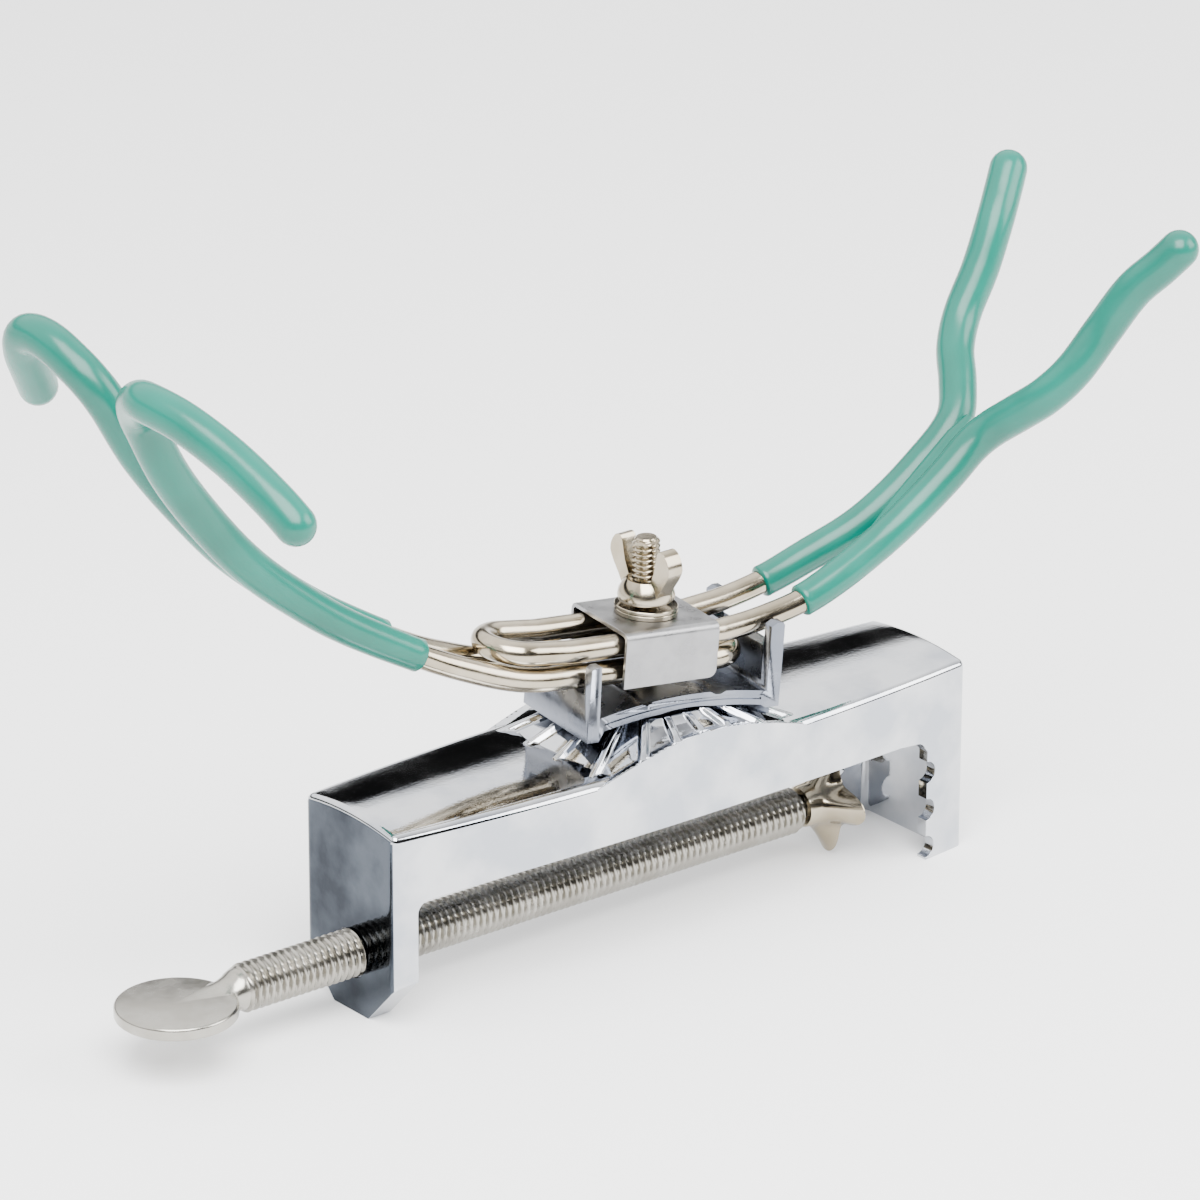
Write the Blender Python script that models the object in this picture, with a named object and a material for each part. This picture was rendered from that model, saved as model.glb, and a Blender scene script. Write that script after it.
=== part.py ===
"""Clamp-on cradle: a cast C-clamp with a thumb screw carries two U-bent wire forms on a toothed swivel.

Blender 4.5, metres, +Z up. Sizes below are millimetres and become metres when a mesh is made.
+X runs from the thumb screw to the jaw. The bolt axis is X = Y = 0 while the pieces are laid out, and the
beam's top side edges are at Z = 0; at the end the whole assembly is moved to stand centred on Z = 0.
"""
from math import cos, pi, radians, sin, sqrt, tan

import bmesh
import bpy
from mathutils import Matrix, Vector

MM = 0.001
GAP = 0.3                    # clearance between pieces that touch or slide on the real object
SEAT_GAP = 0.2               # clearance between stacked washers

# Clamp frame
LEG_OUTER_X = -83.8          # outer face of the screw leg
LEG_THICKNESS = 6.1
JAW_OUTER_X = 82.5
JAW_THICKNESS = 4.0
FRAME_BOTTOM = -46.8
END_HALF_WIDTH = 16.25       # half width of the beam at its ends
BARREL_BULGE = 5.26          # how much wider each side is at the middle
TOP_CROWNING = 1.45
BEAM_DEPTH = 16.5
UNDERSIDE_ARCH = 1.5
CHANNEL_WALL = 3.0
TOP_WALL = 3.5
JAW_TOP_RADIUS = 3.0
THROAT_FILLET = 3.0
JAW_FLANGE_DEPTH = 8.5       # how far the jaw's flanges reach in front of its plate
FLANGE_SHOULDER = 3.6        # sloped corner where a flange meets the beam, along X
FLANGE_SHOULDER_DROP = 2.5
SCALLOP_RADIUS = 2.7
SCALLOP_PITCH = 9.4
LOWEST_SCALLOP = 3.3         # height of its centre above the frame's bottom
LEG_FOOT_HALF_WIDTH = 6.3    # flat under the chamfered screw leg
LEG_CHAMFER = 10.4

# Toothed crown
CROWN_HEIGHT = 13.7          # height that the teeth's cone would have on the bolt axis
CROWN_SLOPE = 0.4
CROWN_FLAT_RADIUS = 14.0
CROWN_REACH = 30.5
CROWN_TEETH = 24
TOOTH_HEIGHT = 0.9
INNER_TOOTH_HEIGHT = 0.4
CROWN_WALL = 3.7

# Bolt, washers and wing nut
BOLT_DIAMETER = 6.35
BOLT_CLEARANCE = 0.35        # bolt in its square hole, and in the nut's bore
WASHER_CLEARANCE = 0.55
BOLT_CHAMFER = 0.8
BOLT_HEAD_EDGE = 1.0         # upright edge of the domed head
BOLT_TOP = 45.8
BOLT_HEAD_RADIUS = 7.5
BOLT_HEAD_HEIGHT = 3.6
SQUARE_NECK_HEIGHT = 3.0
WASHER_RADIUS = 7.3
LOCK_WASHER_THICKNESS = 1.0
FLAT_WASHER_THICKNESS = 0.8
NUT_HUB_RADIUS = 6.6
NUT_HUB_TOP_RADIUS = 4.6
NUT_HUB_HEIGHT = 5.5
WING_THICKNESS = 4.0
WING_SPAN = 21.0
WING_RISE = 13.9

# Thumb screw and claw pad
SCREW_DIAMETER = 11.11
SCREW_HEIGHT = -32.9         # Z of the screw's axis
THREAD_START = -113.9
THREAD_END = 44.6
PADDLE_X = -130.9
PADDLE_RADIUS = 13.7
PADDLE_THICKNESS = 3.0
NOSE_RADIUS = 3.0
NOSE_HEAD_RADIUS = 4.2
NOSE_HEAD_HEIGHT = 1.6
THREAD_CHAMFER = 0.9
PADDLE_EDGE = 0.6            # chamfer round the paddle's rim
PAD_BACK = 46.0
PAD_HUB_RADIUS = 4.9
PAD_FLOOR = 49.4
PAD_FLOOR_THICKNESS = 1.6
PAD_WALL = 1.6
CLAW_TIP_X = 55.0
CLAW_TIP_RADIUS = 13.4
CLAW_VALLEY_RADIUS = 8.0
CLAWS = 4

# Saddle frame: it leans and is turned a little, because the saddle isn't seated in the teeth
SADDLE_TURN = radians(-7.5)
SADDLE_LEAN = radians(4.5)
SADDLE_LEFT = -24.2
SADDLE_RIGHT = 26.4
LEFT_WALL = 2.9
RIGHT_WALL = 3.5
SADDLE_HALF_WIDTH = 14.0
SADDLE_RIM = 2.8             # width of the rims and of the posts
SADDLE_TOP = 11.9            # top of the arched plate between the walls
SADDLE_ARCH = 0.0047         # its fall per square millimetre from the middle
SADDLE_ARCH_MIDDLE = 3.0
SADDLE_PLATE = 3.4           # thickness of the arched plate at its rims
SADDLE_DISH = 0.5            # how far its top is sunk between the rims
TOOTH_CLEARANCE = 0.8        # between the saddle's underside and the tips of the crown's teeth
LEFT_POST_TOP = 21.5
RIGHT_POST_TOP = 26.2
LEFT_WALL_BOTTOM = 3.6
RIGHT_WALL_BOTTOM = 6.0
SADDLE_HOLE_RADIUS = 4.75

# Wire forms and their coats
WIRE_DIAMETER = 5.6
WIRE_HALF_SPACING = 7.3
HOOK_WIRE_HEIGHT = 17.2
HOOK_CLOSED_END = 22.3       # outer end of the lower wire's closed end
FORK_CLOSED_END = -46.2
FORK_END_RISE = 0.085        # upward slope of the upper wire's closed end
FORK_RISE_START = -27.0      # where that slope begins
COAT_MOUTH_RADIUS = 3.7      # the dipped skin is thinner at its mouth
COAT_RADIUS = 4.5
COAT_TAPER = 70.0            # length over which it grows to its full radius
COAT_SIDES = 10
WIRE_SHORT_OF_TIP = 4.0

# Bracket
BRACKET_HALF_LENGTH = 12.2
BRACKET_SHEET = 1.0
BRACKET_INNER_HALF_WIDTH = 11.2
BRACKET_DROP = 13.0
BRACKET_BEND = 1.8           # outer radius of its folds
BRACKET_HOLE_RADIUS = 4.1

WIRE_RADIUS = WIRE_DIAMETER / 2
FORK_WIRE_HEIGHT = HOOK_WIRE_HEIGHT + WIRE_DIAMETER + 2 * GAP
BRACKET_INNER_TOP = FORK_WIRE_HEIGHT + WIRE_RADIUS + GAP
BRACKET_TOP = BRACKET_INNER_TOP + BRACKET_SHEET
SCREW_RADIUS = SCREW_DIAMETER / 2
BOLT_RADIUS = BOLT_DIAMETER / 2
LEG_INNER_X = LEG_OUTER_X + LEG_THICKNESS
JAW_INNER_X = JAW_OUTER_X - JAW_THICKNESS
JAW_TEETH_X = JAW_INNER_X - JAW_FLANGE_DEPTH
BEAM_HALF_LENGTH = (JAW_OUTER_X - LEG_OUTER_X) / 2
CROWN_FLAT_HEIGHT = CROWN_HEIGHT - CROWN_SLOPE * CROWN_FLAT_RADIUS
CROWN_CEILING = CROWN_FLAT_HEIGHT - CROWN_WALL
BELOW = FRAME_BOTTOM - 15.0  # how far down the cutters of the frame reach

# Centre lines of the bent legs, from the closed end outwards, as (x, distance from the wire's middle, z).
# Front and back legs are alike near the saddle; beyond it each is bent by hand.
HOOK_STEM = [
    (-18.0, WIRE_HALF_SPACING, HOOK_WIRE_HEIGHT), (-27.0, WIRE_HALF_SPACING, 17.5), (-34.0, 7.2, 17.7),
    (-41.0, 7.0, 18.8), (-49.8, 6.2, 21.3), (-62.3, 5.0, 25.9), (-81.9, 5.0, 35.3), (-95.0, 4.9, 43.3),
    (-107.8, 4.9, 52.8), (-119.0, 5.2, 64.0), (-129.3, 6.9, 76.3), (-136.7, 8.6, 88.1), (-140.6, 11.5, 93.8),
]
FORK_STEM = [
    (13.0, WIRE_HALF_SPACING, FORK_WIRE_HEIGHT), (23.2, 7.4, 25.0), (34.5, 7.6, 28.1), (44.8, 7.0, 32.8),
    (56.4, 5.4, 39.0), (65.5, 4.9, 45.6), (73.5, 4.9, 52.8), (79.6, 4.95, 59.2), (83.4, 7.0, 63.6),
    (86.8, 12.5, 69.0),
]
ROUTES = {
    "hook_front": HOOK_STEM + [(-143.9, 18.0, 98.2), (-145.0, 25.0, 99.8), (-141.4, 34.0, 98.0),
                               (-136.0, 45.0, 93.0), (-131.8, 56.0, 87.2), (-128.4, 63.0, 81.8)],
    "hook_back": HOOK_STEM + [(-143.6, 16.5, 97.7), (-145.3, 20.5, 99.6), (-146.4, 24.5, 100.1),
                              (-147.0, 28.0, 99.3), (-146.3, 31.0, 96.7), (-143.9, 34.5, 92.5),
                              (-139.7, 39.0, 86.8), (-134.9, 44.0, 80.4)],
    "fork_front": FORK_STEM + [(90.0, 18.2, 74.6), (94.4, 21.8, 81.4), (100.0, 23.8, 90.9),
                               (104.5, 27.3, 100.7), (108.7, 31.5, 107.4), (112.6, 35.0, 113.7)],
    "fork_back": FORK_STEM + [(90.0, 19.0, 74.6), (94.4, 23.6, 81.2), (100.0, 26.0, 90.8),
                              (104.5, 28.4, 100.6), (108.7, 31.9, 107.3), (112.6, 35.4, 113.6)],
}
# Where each coat begins, as x along its leg
COAT_START = {"hook_front": -62.3, "hook_back": -66.0, "fork_front": 34.5, "fork_back": 34.5}


def remove_everything():
    for item in list(bpy.data.objects):
        bpy.data.objects.remove(item, do_unlink=True)


def make_material(name, colour, roughness, metallic):
    material = bpy.data.materials.new(name)
    material.use_nodes = True
    shader = material.node_tree.nodes["Principled BSDF"]
    shader.inputs["Base Color"].default_value = (*colour, 1.0)
    shader.inputs["Roughness"].default_value = roughness
    shader.inputs["Metallic"].default_value = metallic
    material.diffuse_color = (*colour, 1.0)
    return material


def add_object(name, bm, material=None, parent=None, smooth_angle=35.0):
    """Turn a bmesh in millimetres into an object in metres."""
    bmesh.ops.remove_doubles(bm, verts=bm.verts, dist=1e-4)
    bmesh.ops.recalc_face_normals(bm, faces=bm.faces)
    bmesh.ops.scale(bm, vec=(MM, MM, MM), verts=bm.verts)
    mesh = bpy.data.meshes.new(name)
    bm.to_mesh(mesh)
    bm.free()
    mesh.shade_smooth()
    mesh.set_sharp_from_angle(angle=radians(smooth_angle))
    item = bpy.data.objects.new(name, mesh)
    bpy.context.collection.objects.link(item)
    if material:
        mesh.materials.append(material)
    item.parent = parent
    return item


def add_empty(name, parent=None, location=(0, 0, 0), rotation=(0, 0, 0)):
    empty = bpy.data.objects.new(name, None)
    bpy.context.collection.objects.link(empty)
    empty.empty_display_size = 0.01
    empty.parent = parent
    empty.location = Vector(location) * MM
    empty.rotation_euler = rotation
    return empty


def combine(item, other, operation):
    """Add an exact Boolean and hide the tool object."""
    modifier = item.modifiers.new(operation.lower() + "_" + other.name, 'BOOLEAN')
    modifier.operation = operation
    modifier.solver = 'EXACT'
    modifier.object = other
    other.hide_render = True
    other.display_type = 'WIRE'


def loft(bm, loops):
    """Skin closed loops of equal length and cap both ends."""
    rows = [[bm.verts.new(point) for point in loop] for loop in loops]
    for lower, upper in zip(rows, rows[1:]):
        for i in range(len(lower)):
            j = (i + 1) % len(lower)
            bm.faces.new((lower[i], lower[j], upper[j], upper[i]))
    bm.faces.new(reversed(rows[0]))
    bm.faces.new(rows[-1])


def extruded(outline, axis, start, end):
    """Closed outline of (a, b) pairs, extruded along 'X', 'Y' or 'Z' from start to end."""
    place = {'X': lambda a, b, c: (c, a, b), 'Y': lambda a, b, c: (a, c, b), 'Z': lambda a, b, c: (a, b, c)}[axis]
    bm = bmesh.new()
    face = bm.faces.new([bm.verts.new(place(a, b, start)) for a, b in outline])
    moved = bmesh.ops.extrude_face_region(bm, geom=[face])["geom"]
    shift = Vector(place(0, 0, end - start))
    bmesh.ops.translate(bm, vec=shift, verts=[v for v in moved if isinstance(v, bmesh.types.BMVert)])
    return bm


def turned(profile, axis='Z', sides=24):
    """Profile of (radius, height) pairs turned about an axis; it may close on itself or end on the axis."""
    bm = bmesh.new()
    closed = profile[0] == profile[-1]
    points = profile[:-1] if closed else profile
    verts = [bm.verts.new((radius, 0, height)) for radius, height in points]
    edges = [bm.edges.new(pair) for pair in zip(verts, verts[1:])]
    if closed:
        edges.append(bm.edges.new((verts[-1], verts[0])))
    bmesh.ops.spin(bm, geom=verts + edges, cent=(0, 0, 0), axis=(0, 0, 1), angle=2 * pi, steps=sides,
                   use_merge=True)
    if axis == 'X':
        bmesh.ops.rotate(bm, cent=(0, 0, 0), matrix=Matrix.Rotation(radians(90), 3, 'Y'), verts=bm.verts)
    return bm


def arc(centre, radius, start_deg, end_deg, steps):
    """Points (a, b) on a circular arc, both ends included."""
    angles = [radians(start_deg + (end_deg - start_deg) * i / steps) for i in range(steps + 1)]
    return [(centre[0] + radius * cos(t), centre[1] + radius * sin(t)) for t in angles]


# ---------------------------------------------------------------- clamp frame
def half_width(x):
    """Half width of the barrel-shaped beam."""
    middle = (LEG_OUTER_X + JAW_OUTER_X) / 2
    return END_HALF_WIDTH + BARREL_BULGE * (1 - ((x - middle) / BEAM_HALF_LENGTH) ** 2)


def jaw_top_drop(x):
    """How far the rounded top edge of the jaw lies below the beam's top."""
    into_round = max(0.0, x - (JAW_OUTER_X - JAW_TOP_RADIUS))
    return JAW_TOP_RADIUS - sqrt(max(0.0, JAW_TOP_RADIUS ** 2 - into_round ** 2))


def frame_stations():
    straight = [LEG_OUTER_X + (JAW_OUTER_X - JAW_TOP_RADIUS - LEG_OUTER_X) * i / 14 for i in range(15)]
    rounded = [JAW_OUTER_X - JAW_TOP_RADIUS + JAW_TOP_RADIUS * sin(radians(t)) for t in (25, 50, 70, 90)]
    return straight + rounded


def frame_block(inset, top, crowning, bottom, stations):
    """Barrel-shaped block between a flat bottom and a crowned top."""
    bm = bmesh.new()
    loops = []
    for x in stations:
        width = half_width(x) - inset
        across = [width * (1 - 2 * i / 6) for i in range(7)]
        roof = [(x, y, top - jaw_top_drop(x) + crowning * (1 - (y / width) ** 2)) for y in across]
        loops.append([(x, -width, bottom), (x, width, bottom)] + roof)
    loft(bm, loops)
    return bm


def throat_outline():
    """Side view of the clamp's opening with the jaw's scalloped edge."""
    leg_corner = (LEG_INNER_X + THROAT_FILLET, -BEAM_DEPTH - THROAT_FILLET)
    points = [(LEG_INNER_X, BELOW)] + arc(leg_corner, THROAT_FILLET, 180, 90, 4)
    flange_end = JAW_TEETH_X - FLANGE_SHOULDER
    first = leg_corner[0]
    for i in range(1, 8):
        x = first + (flange_end - first) * i / 8
        points.append((x, -BEAM_DEPTH + UNDERSIDE_ARCH * (1 - (x / BEAM_HALF_LENGTH) ** 2)))
    points += [(flange_end, -BEAM_DEPTH), (JAW_TEETH_X, -BEAM_DEPTH - FLANGE_SHOULDER_DROP)]
    for row in (2, 1, 0):
        centre = (JAW_TEETH_X, FRAME_BOTTOM + LOWEST_SCALLOP + row * SCALLOP_PITCH)
        points += arc(centre, SCALLOP_RADIUS, 90, -90, 6)
    points.append((JAW_TEETH_X, BELOW))
    return points


def crown_blank():
    """Cone with radial teeth, flat around the bolt; it starts wider than the beam and is trimmed to it."""
    outer = CROWN_REACH + 8.0
    edge_height = CROWN_HEIGHT - CROWN_SLOPE * outer
    per_tooth = 3
    count = CROWN_TEETH * per_tooth

    def ring(radius, height, ridge):
        points = []
        for i in range(count):
            angle = 2 * pi * i / count
            lift = 0.0 if i % per_tooth == 0 else ridge
            points.append((radius * cos(angle), radius * sin(angle), height - ridge + lift))
        return points

    bm = bmesh.new()
    loft(bm, [ring(outer, edge_height - TOOTH_HEIGHT - 1.0, 0.0), ring(outer, edge_height, TOOTH_HEIGHT),
              ring(CROWN_FLAT_RADIUS, CROWN_FLAT_HEIGHT, INNER_TOOTH_HEIGHT)])
    return bm


def make_clamp_body(root, chrome):
    stations = frame_stations()
    body = add_object("clamp_body", frame_block(0, 0, TOP_CROWNING, FRAME_BOTTOM, stations), chrome, root)

    crown = add_object("crown_tool", crown_blank(), parent=root)
    reach = [-CROWN_REACH + 2 * CROWN_REACH * i / 8 for i in range(9)]
    plan = [(x, -half_width(x)) for x in reach] + [(x, half_width(x)) for x in reversed(reach)]
    trim = add_object("crown_trim_tool", extruded(plan, 'Z', -30, 30), parent=root)
    combine(crown, trim, 'INTERSECT')
    combine(body, crown, 'UNION')

    reach_y = END_HALF_WIDTH + BARREL_BULGE + 10
    throat = add_object("throat_tool", extruded(throat_outline(), 'Y', -reach_y, reach_y), parent=root)
    combine(body, throat, 'DIFFERENCE')

    inside = [LEG_INNER_X + (JAW_INNER_X - LEG_INNER_X) * i / 12 for i in range(13)]
    channel = add_object("channel_tool", frame_block(CHANNEL_WALL, -TOP_WALL, 0, BELOW, inside), parent=root)
    combine(body, channel, 'DIFFERENCE')

    room = half_width(0) - CHANNEL_WALL - 1.0
    slope_end = CROWN_CEILING - CROWN_SLOPE * (room - CROWN_FLAT_RADIUS)
    hollow = [(0, CROWN_CEILING), (CROWN_FLAT_RADIUS, CROWN_CEILING), (room, slope_end), (room, -TOP_WALL - 5),
              (0, -TOP_WALL - 5)]
    combine(body, add_object("crown_hollow_tool", turned(hollow), parent=root), 'DIFFERENCE')

    side = BOLT_RADIUS + BOLT_CLEARANCE
    square = [(side, side), (-side, side), (-side, -side), (side, -side)]
    neck = add_object("square_hole_tool", extruded(square, 'Z', 0, CROWN_HEIGHT + 5), parent=root)
    combine(body, neck, 'DIFFERENCE')

    bore_radius = SCREW_RADIUS + GAP
    bore = turned([(0, LEG_OUTER_X - 5), (bore_radius, LEG_OUTER_X - 5), (bore_radius, LEG_INNER_X + 5),
                   (0, LEG_INNER_X + 5)], 'X')
    bmesh.ops.translate(bore, vec=(0, 0, SCREW_HEIGHT), verts=bore.verts)
    combine(body, add_object("screw_bore_tool", bore, parent=root), 'DIFFERENCE')

    for side in (-1, 1):
        outer = END_HALF_WIDTH + 12
        rise = (outer - LEG_FOOT_HALF_WIDTH) * LEG_CHAMFER / (END_HALF_WIDTH - LEG_FOOT_HALF_WIDTH)
        corner = [(side * LEG_FOOT_HALF_WIDTH, FRAME_BOTTOM), (side * LEG_FOOT_HALF_WIDTH, BELOW),
                  (side * outer, BELOW), (side * outer, FRAME_BOTTOM + rise)]
        chamfer = extruded(corner, 'X', LEG_OUTER_X - 5, LEG_INNER_X + 1)
        name = "leg_chamfer_tool_left" if side < 0 else "leg_chamfer_tool_right"
        combine(body, add_object(name, chamfer, parent=root), 'DIFFERENCE')
    return body


# ---------------------------------------------------------------- bolt, washers, nut
def make_clamp_bolt(root, steel):
    seat = CROWN_CEILING - GAP
    dome_height = BOLT_HEAD_HEIGHT - BOLT_HEAD_EDGE
    dome = arc((0, 0), 1.0, 0, -90, 4)
    head = [(BOLT_HEAD_RADIUS * a, seat - BOLT_HEAD_EDGE + dome_height * b) for a, b in dome[:-1]]
    head.append((0, seat - BOLT_HEAD_HEIGHT))
    shank = [(0, BOLT_TOP), (BOLT_RADIUS - BOLT_CHAMFER, BOLT_TOP), (BOLT_RADIUS, BOLT_TOP - BOLT_CHAMFER),
             (BOLT_RADIUS, seat)]
    bm = turned(list(reversed(shank + [(BOLT_HEAD_RADIUS, seat)] + head)), sides=16)
    bolt = add_object("clamp_bolt", bm, steel, root)
    side = BOLT_RADIUS - 0.02
    square = [(side, side), (-side, side), (-side, -side), (side, -side)]
    neck = add_object("square_neck_tool", extruded(square, 'Z', seat - 1.0, seat + SQUARE_NECK_HEIGHT), parent=root)
    combine(bolt, neck, 'UNION')
    return bolt


def washer(name, bottom, thickness, material, parent):
    """Flat ring in the saddle's frame, centred where the bolt crosses it."""
    inner = BOLT_RADIUS + WASHER_CLEARANCE
    top = bottom + thickness
    profile = [(inner, bottom), (WASHER_RADIUS, bottom), (WASHER_RADIUS, top), (inner, top), (inner, bottom)]
    bm = turned(profile)
    bmesh.ops.translate(bm, vec=(-tan(SADDLE_LEAN) * (bottom + thickness / 2), 0, 0), verts=bm.verts)
    return add_object(name, bm, material, parent)


def make_wing_nut(parent, steel, bottom):
    """Round hub with two upright wings; the wings stand along Y."""
    top = bottom + NUT_HUB_HEIGHT
    hub = [(0, bottom), (NUT_HUB_RADIUS - 0.8, bottom), (NUT_HUB_RADIUS, bottom + 0.8),
           (NUT_HUB_RADIUS, bottom + 2.2), (NUT_HUB_TOP_RADIUS, top), (0, top)]
    nut = add_object("wing_nut", turned(hub), steel, parent)
    tip = WING_SPAN / 2
    wing_top = bottom + WING_RISE
    outline = [(3.6, bottom + 1.2), (5.2, bottom + 1.4), (7.6, bottom + 4.6), (tip, bottom + 9.2),
               (tip - 0.9, wing_top - 1.7), (tip - 2.9, wing_top), (tip - 3.9, wing_top - 0.2),
               (5.4, bottom + 9.0), (3.6, top - 0.8)]
    for side in (-1, 1):
        mirrored = [(side * a, b) for a, b in outline]
        wing = extruded(mirrored, 'X', -WING_THICKNESS / 2, WING_THICKNESS / 2)
        name = "wing_tool_front" if side < 0 else "wing_tool_back"
        combine(nut, add_object(name, wing, parent=parent), 'UNION')
    bore_radius = BOLT_RADIUS + BOLT_CLEARANCE
    bore = turned([(0, bottom - 5), (bore_radius, bottom - 5), (bore_radius, top + 5), (0, top + 5)])
    combine(nut, add_object("nut_bore_tool", bore, parent=parent), 'DIFFERENCE')
    return nut


# ---------------------------------------------------------------- thumb screw and pad
def make_clamp_screw(parent, steel):
    """Threaded rod along X with a flattened paddle and a peened nose; its own origin is on its axis."""
    head_start = PAD_FLOOR + PAD_FLOOR_THICKNESS + GAP
    head_end = head_start + NOSE_HEAD_HEIGHT
    chamfered = SCREW_RADIUS - THREAD_CHAMFER
    rod = [(0, THREAD_START - THREAD_CHAMFER), (chamfered, THREAD_START - THREAD_CHAMFER),
           (SCREW_RADIUS, THREAD_START), (SCREW_RADIUS, THREAD_END - THREAD_CHAMFER), (chamfered, THREAD_END),
           (NOSE_RADIUS, THREAD_END), (NOSE_RADIUS, head_start), (NOSE_HEAD_RADIUS, head_start),
           (NOSE_RADIUS, head_end), (0, head_end)]
    screw = add_object("clamp_screw", turned(rod, 'X'), steel, parent)

    # forged neck: round where it leaves the thread, flat where it meets the paddle
    neck = bmesh.new()
    paddle_edge = PADDLE_X + PADDLE_RADIUS
    sections = [(THREAD_START + 0.5, SCREW_RADIUS - 0.6, SCREW_RADIUS - 0.6), (THREAD_START - 2.0, 4.4, 4.3),
                (paddle_edge - 1.5, 4.6, 2.4), (paddle_edge - 7.0, 6.6, PADDLE_THICKNESS / 2 - 0.05)]
    loops = []
    for x, wide, high in sections:
        ring = [radians(360 * i / 16) for i in range(16)]
        loops.append([(x, wide * cos(t), high * sin(t)) for t in ring])
    loft(neck, loops)
    combine(screw, add_object("neck_tool", neck, parent=parent), 'UNION')

    half = PADDLE_THICKNESS / 2
    face = PADDLE_RADIUS - PADDLE_EDGE
    disc = turned([(0, -half), (face, -half), (PADDLE_RADIUS, -half + PADDLE_EDGE),
                   (PADDLE_RADIUS, half - PADDLE_EDGE), (face, half), (0, half)], sides=36)
    bmesh.ops.translate(disc, vec=(PADDLE_X, 0, 0), verts=disc.verts)
    combine(screw, add_object("paddle_tool", disc, parent=parent), 'UNION')
    return screw


def make_screw_pad(parent, steel):
    """Swivel cup with four claws; the bore holds the screw's nose."""
    bm = bmesh.new()
    sides = 32
    bore = NOSE_RADIUS + GAP

    def claw_share(i):
        """1 on a claw's tip, 0 half way between two claws."""
        return abs(cos(CLAWS * pi * i / sides)) ** 2.2

    def ring(radius, x):
        return [(x, radius * cos(2 * pi * i / sides), radius * sin(2 * pi * i / sides)) for i in range(sides)]

    def rim(setback, radius_loss):
        points = []
        for i in range(sides):
            share = claw_share(i)
            radius = CLAW_VALLEY_RADIUS + (CLAW_TIP_RADIUS - CLAW_VALLEY_RADIUS) * share - radius_loss
            x = CLAW_TIP_X - setback - 1.2 * (1 - share)
            points.append((x, radius * cos(2 * pi * i / sides), radius * sin(2 * pi * i / sides)))
        return points

    floor = PAD_FLOOR + PAD_FLOOR_THICKNESS
    loops = [ring(bore, PAD_BACK), ring(PAD_HUB_RADIUS, PAD_BACK), ring(PAD_HUB_RADIUS + 0.6, PAD_FLOOR - 0.4),
             rim(0, 0), rim(0, PAD_WALL * 0.75), ring(PAD_HUB_RADIUS + 0.4, floor), ring(bore, floor)]
    rows = [[bm.verts.new(point) for point in loop] for loop in loops]
    for lower, upper in zip(rows, rows[1:] + rows[:1]):
        for i in range(sides):
            j = (i + 1) % sides
            bm.faces.new((lower[i], lower[j], upper[j], upper[i]))
    return add_object("screw_pad", bm, steel, parent)


# ---------------------------------------------------------------- saddle and bracket
def make_saddle(parent, root, cast):
    """Cast saddle: an arched plate over the crown, with walls and posts at both ends."""
    half = SADDLE_HALF_WIDTH
    inner = half - SADDLE_RIM
    left_inner = SADDLE_LEFT + LEFT_WALL
    right_inner = SADDLE_RIGHT - RIGHT_WALL

    def arch(lowered):
        stations = [left_inner + (right_inner - left_inner) * i / 10 for i in range(11)]
        return [(x, SADDLE_TOP - SADDLE_ARCH * (x - SADDLE_ARCH_MIDDLE) ** 2 - lowered) for x in stations]

    outline = [(SADDLE_LEFT, LEFT_WALL_BOTTOM), (SADDLE_LEFT, LEFT_POST_TOP), (left_inner, LEFT_POST_TOP)]
    outline += arch(0.0) + [(right_inner, RIGHT_POST_TOP), (SADDLE_RIGHT, RIGHT_POST_TOP)]
    outline += [(SADDLE_RIGHT, RIGHT_WALL_BOTTOM), (right_inner, RIGHT_WALL_BOTTOM)]
    outline += list(reversed(arch(SADDLE_PLATE)))[1:-1] + [(left_inner, LEFT_WALL_BOTTOM)]
    saddle = add_object("saddle", extruded(outline, 'Y', -half, half), cast, parent)

    # underside: clears the crown's flat and its cone of teeth at every turn of the swivel
    reach = 45.0
    drop = CROWN_SLOPE * (reach - CROWN_FLAT_RADIUS)
    flat = CROWN_FLAT_HEIGHT + TOOTH_CLEARANCE
    under = [(0, flat), (CROWN_FLAT_RADIUS, flat), (reach, flat - drop), (reach, -20), (0, -20)]
    combine(saddle, add_object("underside_tool", turned(under, sides=48), parent=root), 'DIFFERENCE')

    # dish between the rims, with notches over the end walls for the wires
    left_seat = HOOK_WIRE_HEIGHT - WIRE_RADIUS - GAP
    right_seat = HOOK_WIRE_HEIGHT + WIRE_RADIUS
    above = RIGHT_POST_TOP + 5
    cavity = [(left_inner, left_seat)] + arch(SADDLE_DISH)
    cavity += [(right_inner, right_seat), (SADDLE_RIGHT + 5, right_seat), (SADDLE_RIGHT + 5, above),
               (SADDLE_LEFT - 5, above), (SADDLE_LEFT - 5, left_seat)]
    combine(saddle, add_object("cavity_tool", extruded(cavity, 'Y', -inner, inner), parent=parent), 'DIFFERENCE')

    hole = turned([(0, 0), (SADDLE_HOLE_RADIUS, 0), (SADDLE_HOLE_RADIUS, 30), (0, 30)])
    bmesh.ops.translate(hole, vec=(-tan(SADDLE_LEAN) * (SADDLE_TOP - SADDLE_PLATE / 2), 0, 0), verts=hole.verts)
    combine(saddle, add_object("saddle_hole_tool", hole, parent=parent), 'DIFFERENCE')
    return saddle


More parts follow.
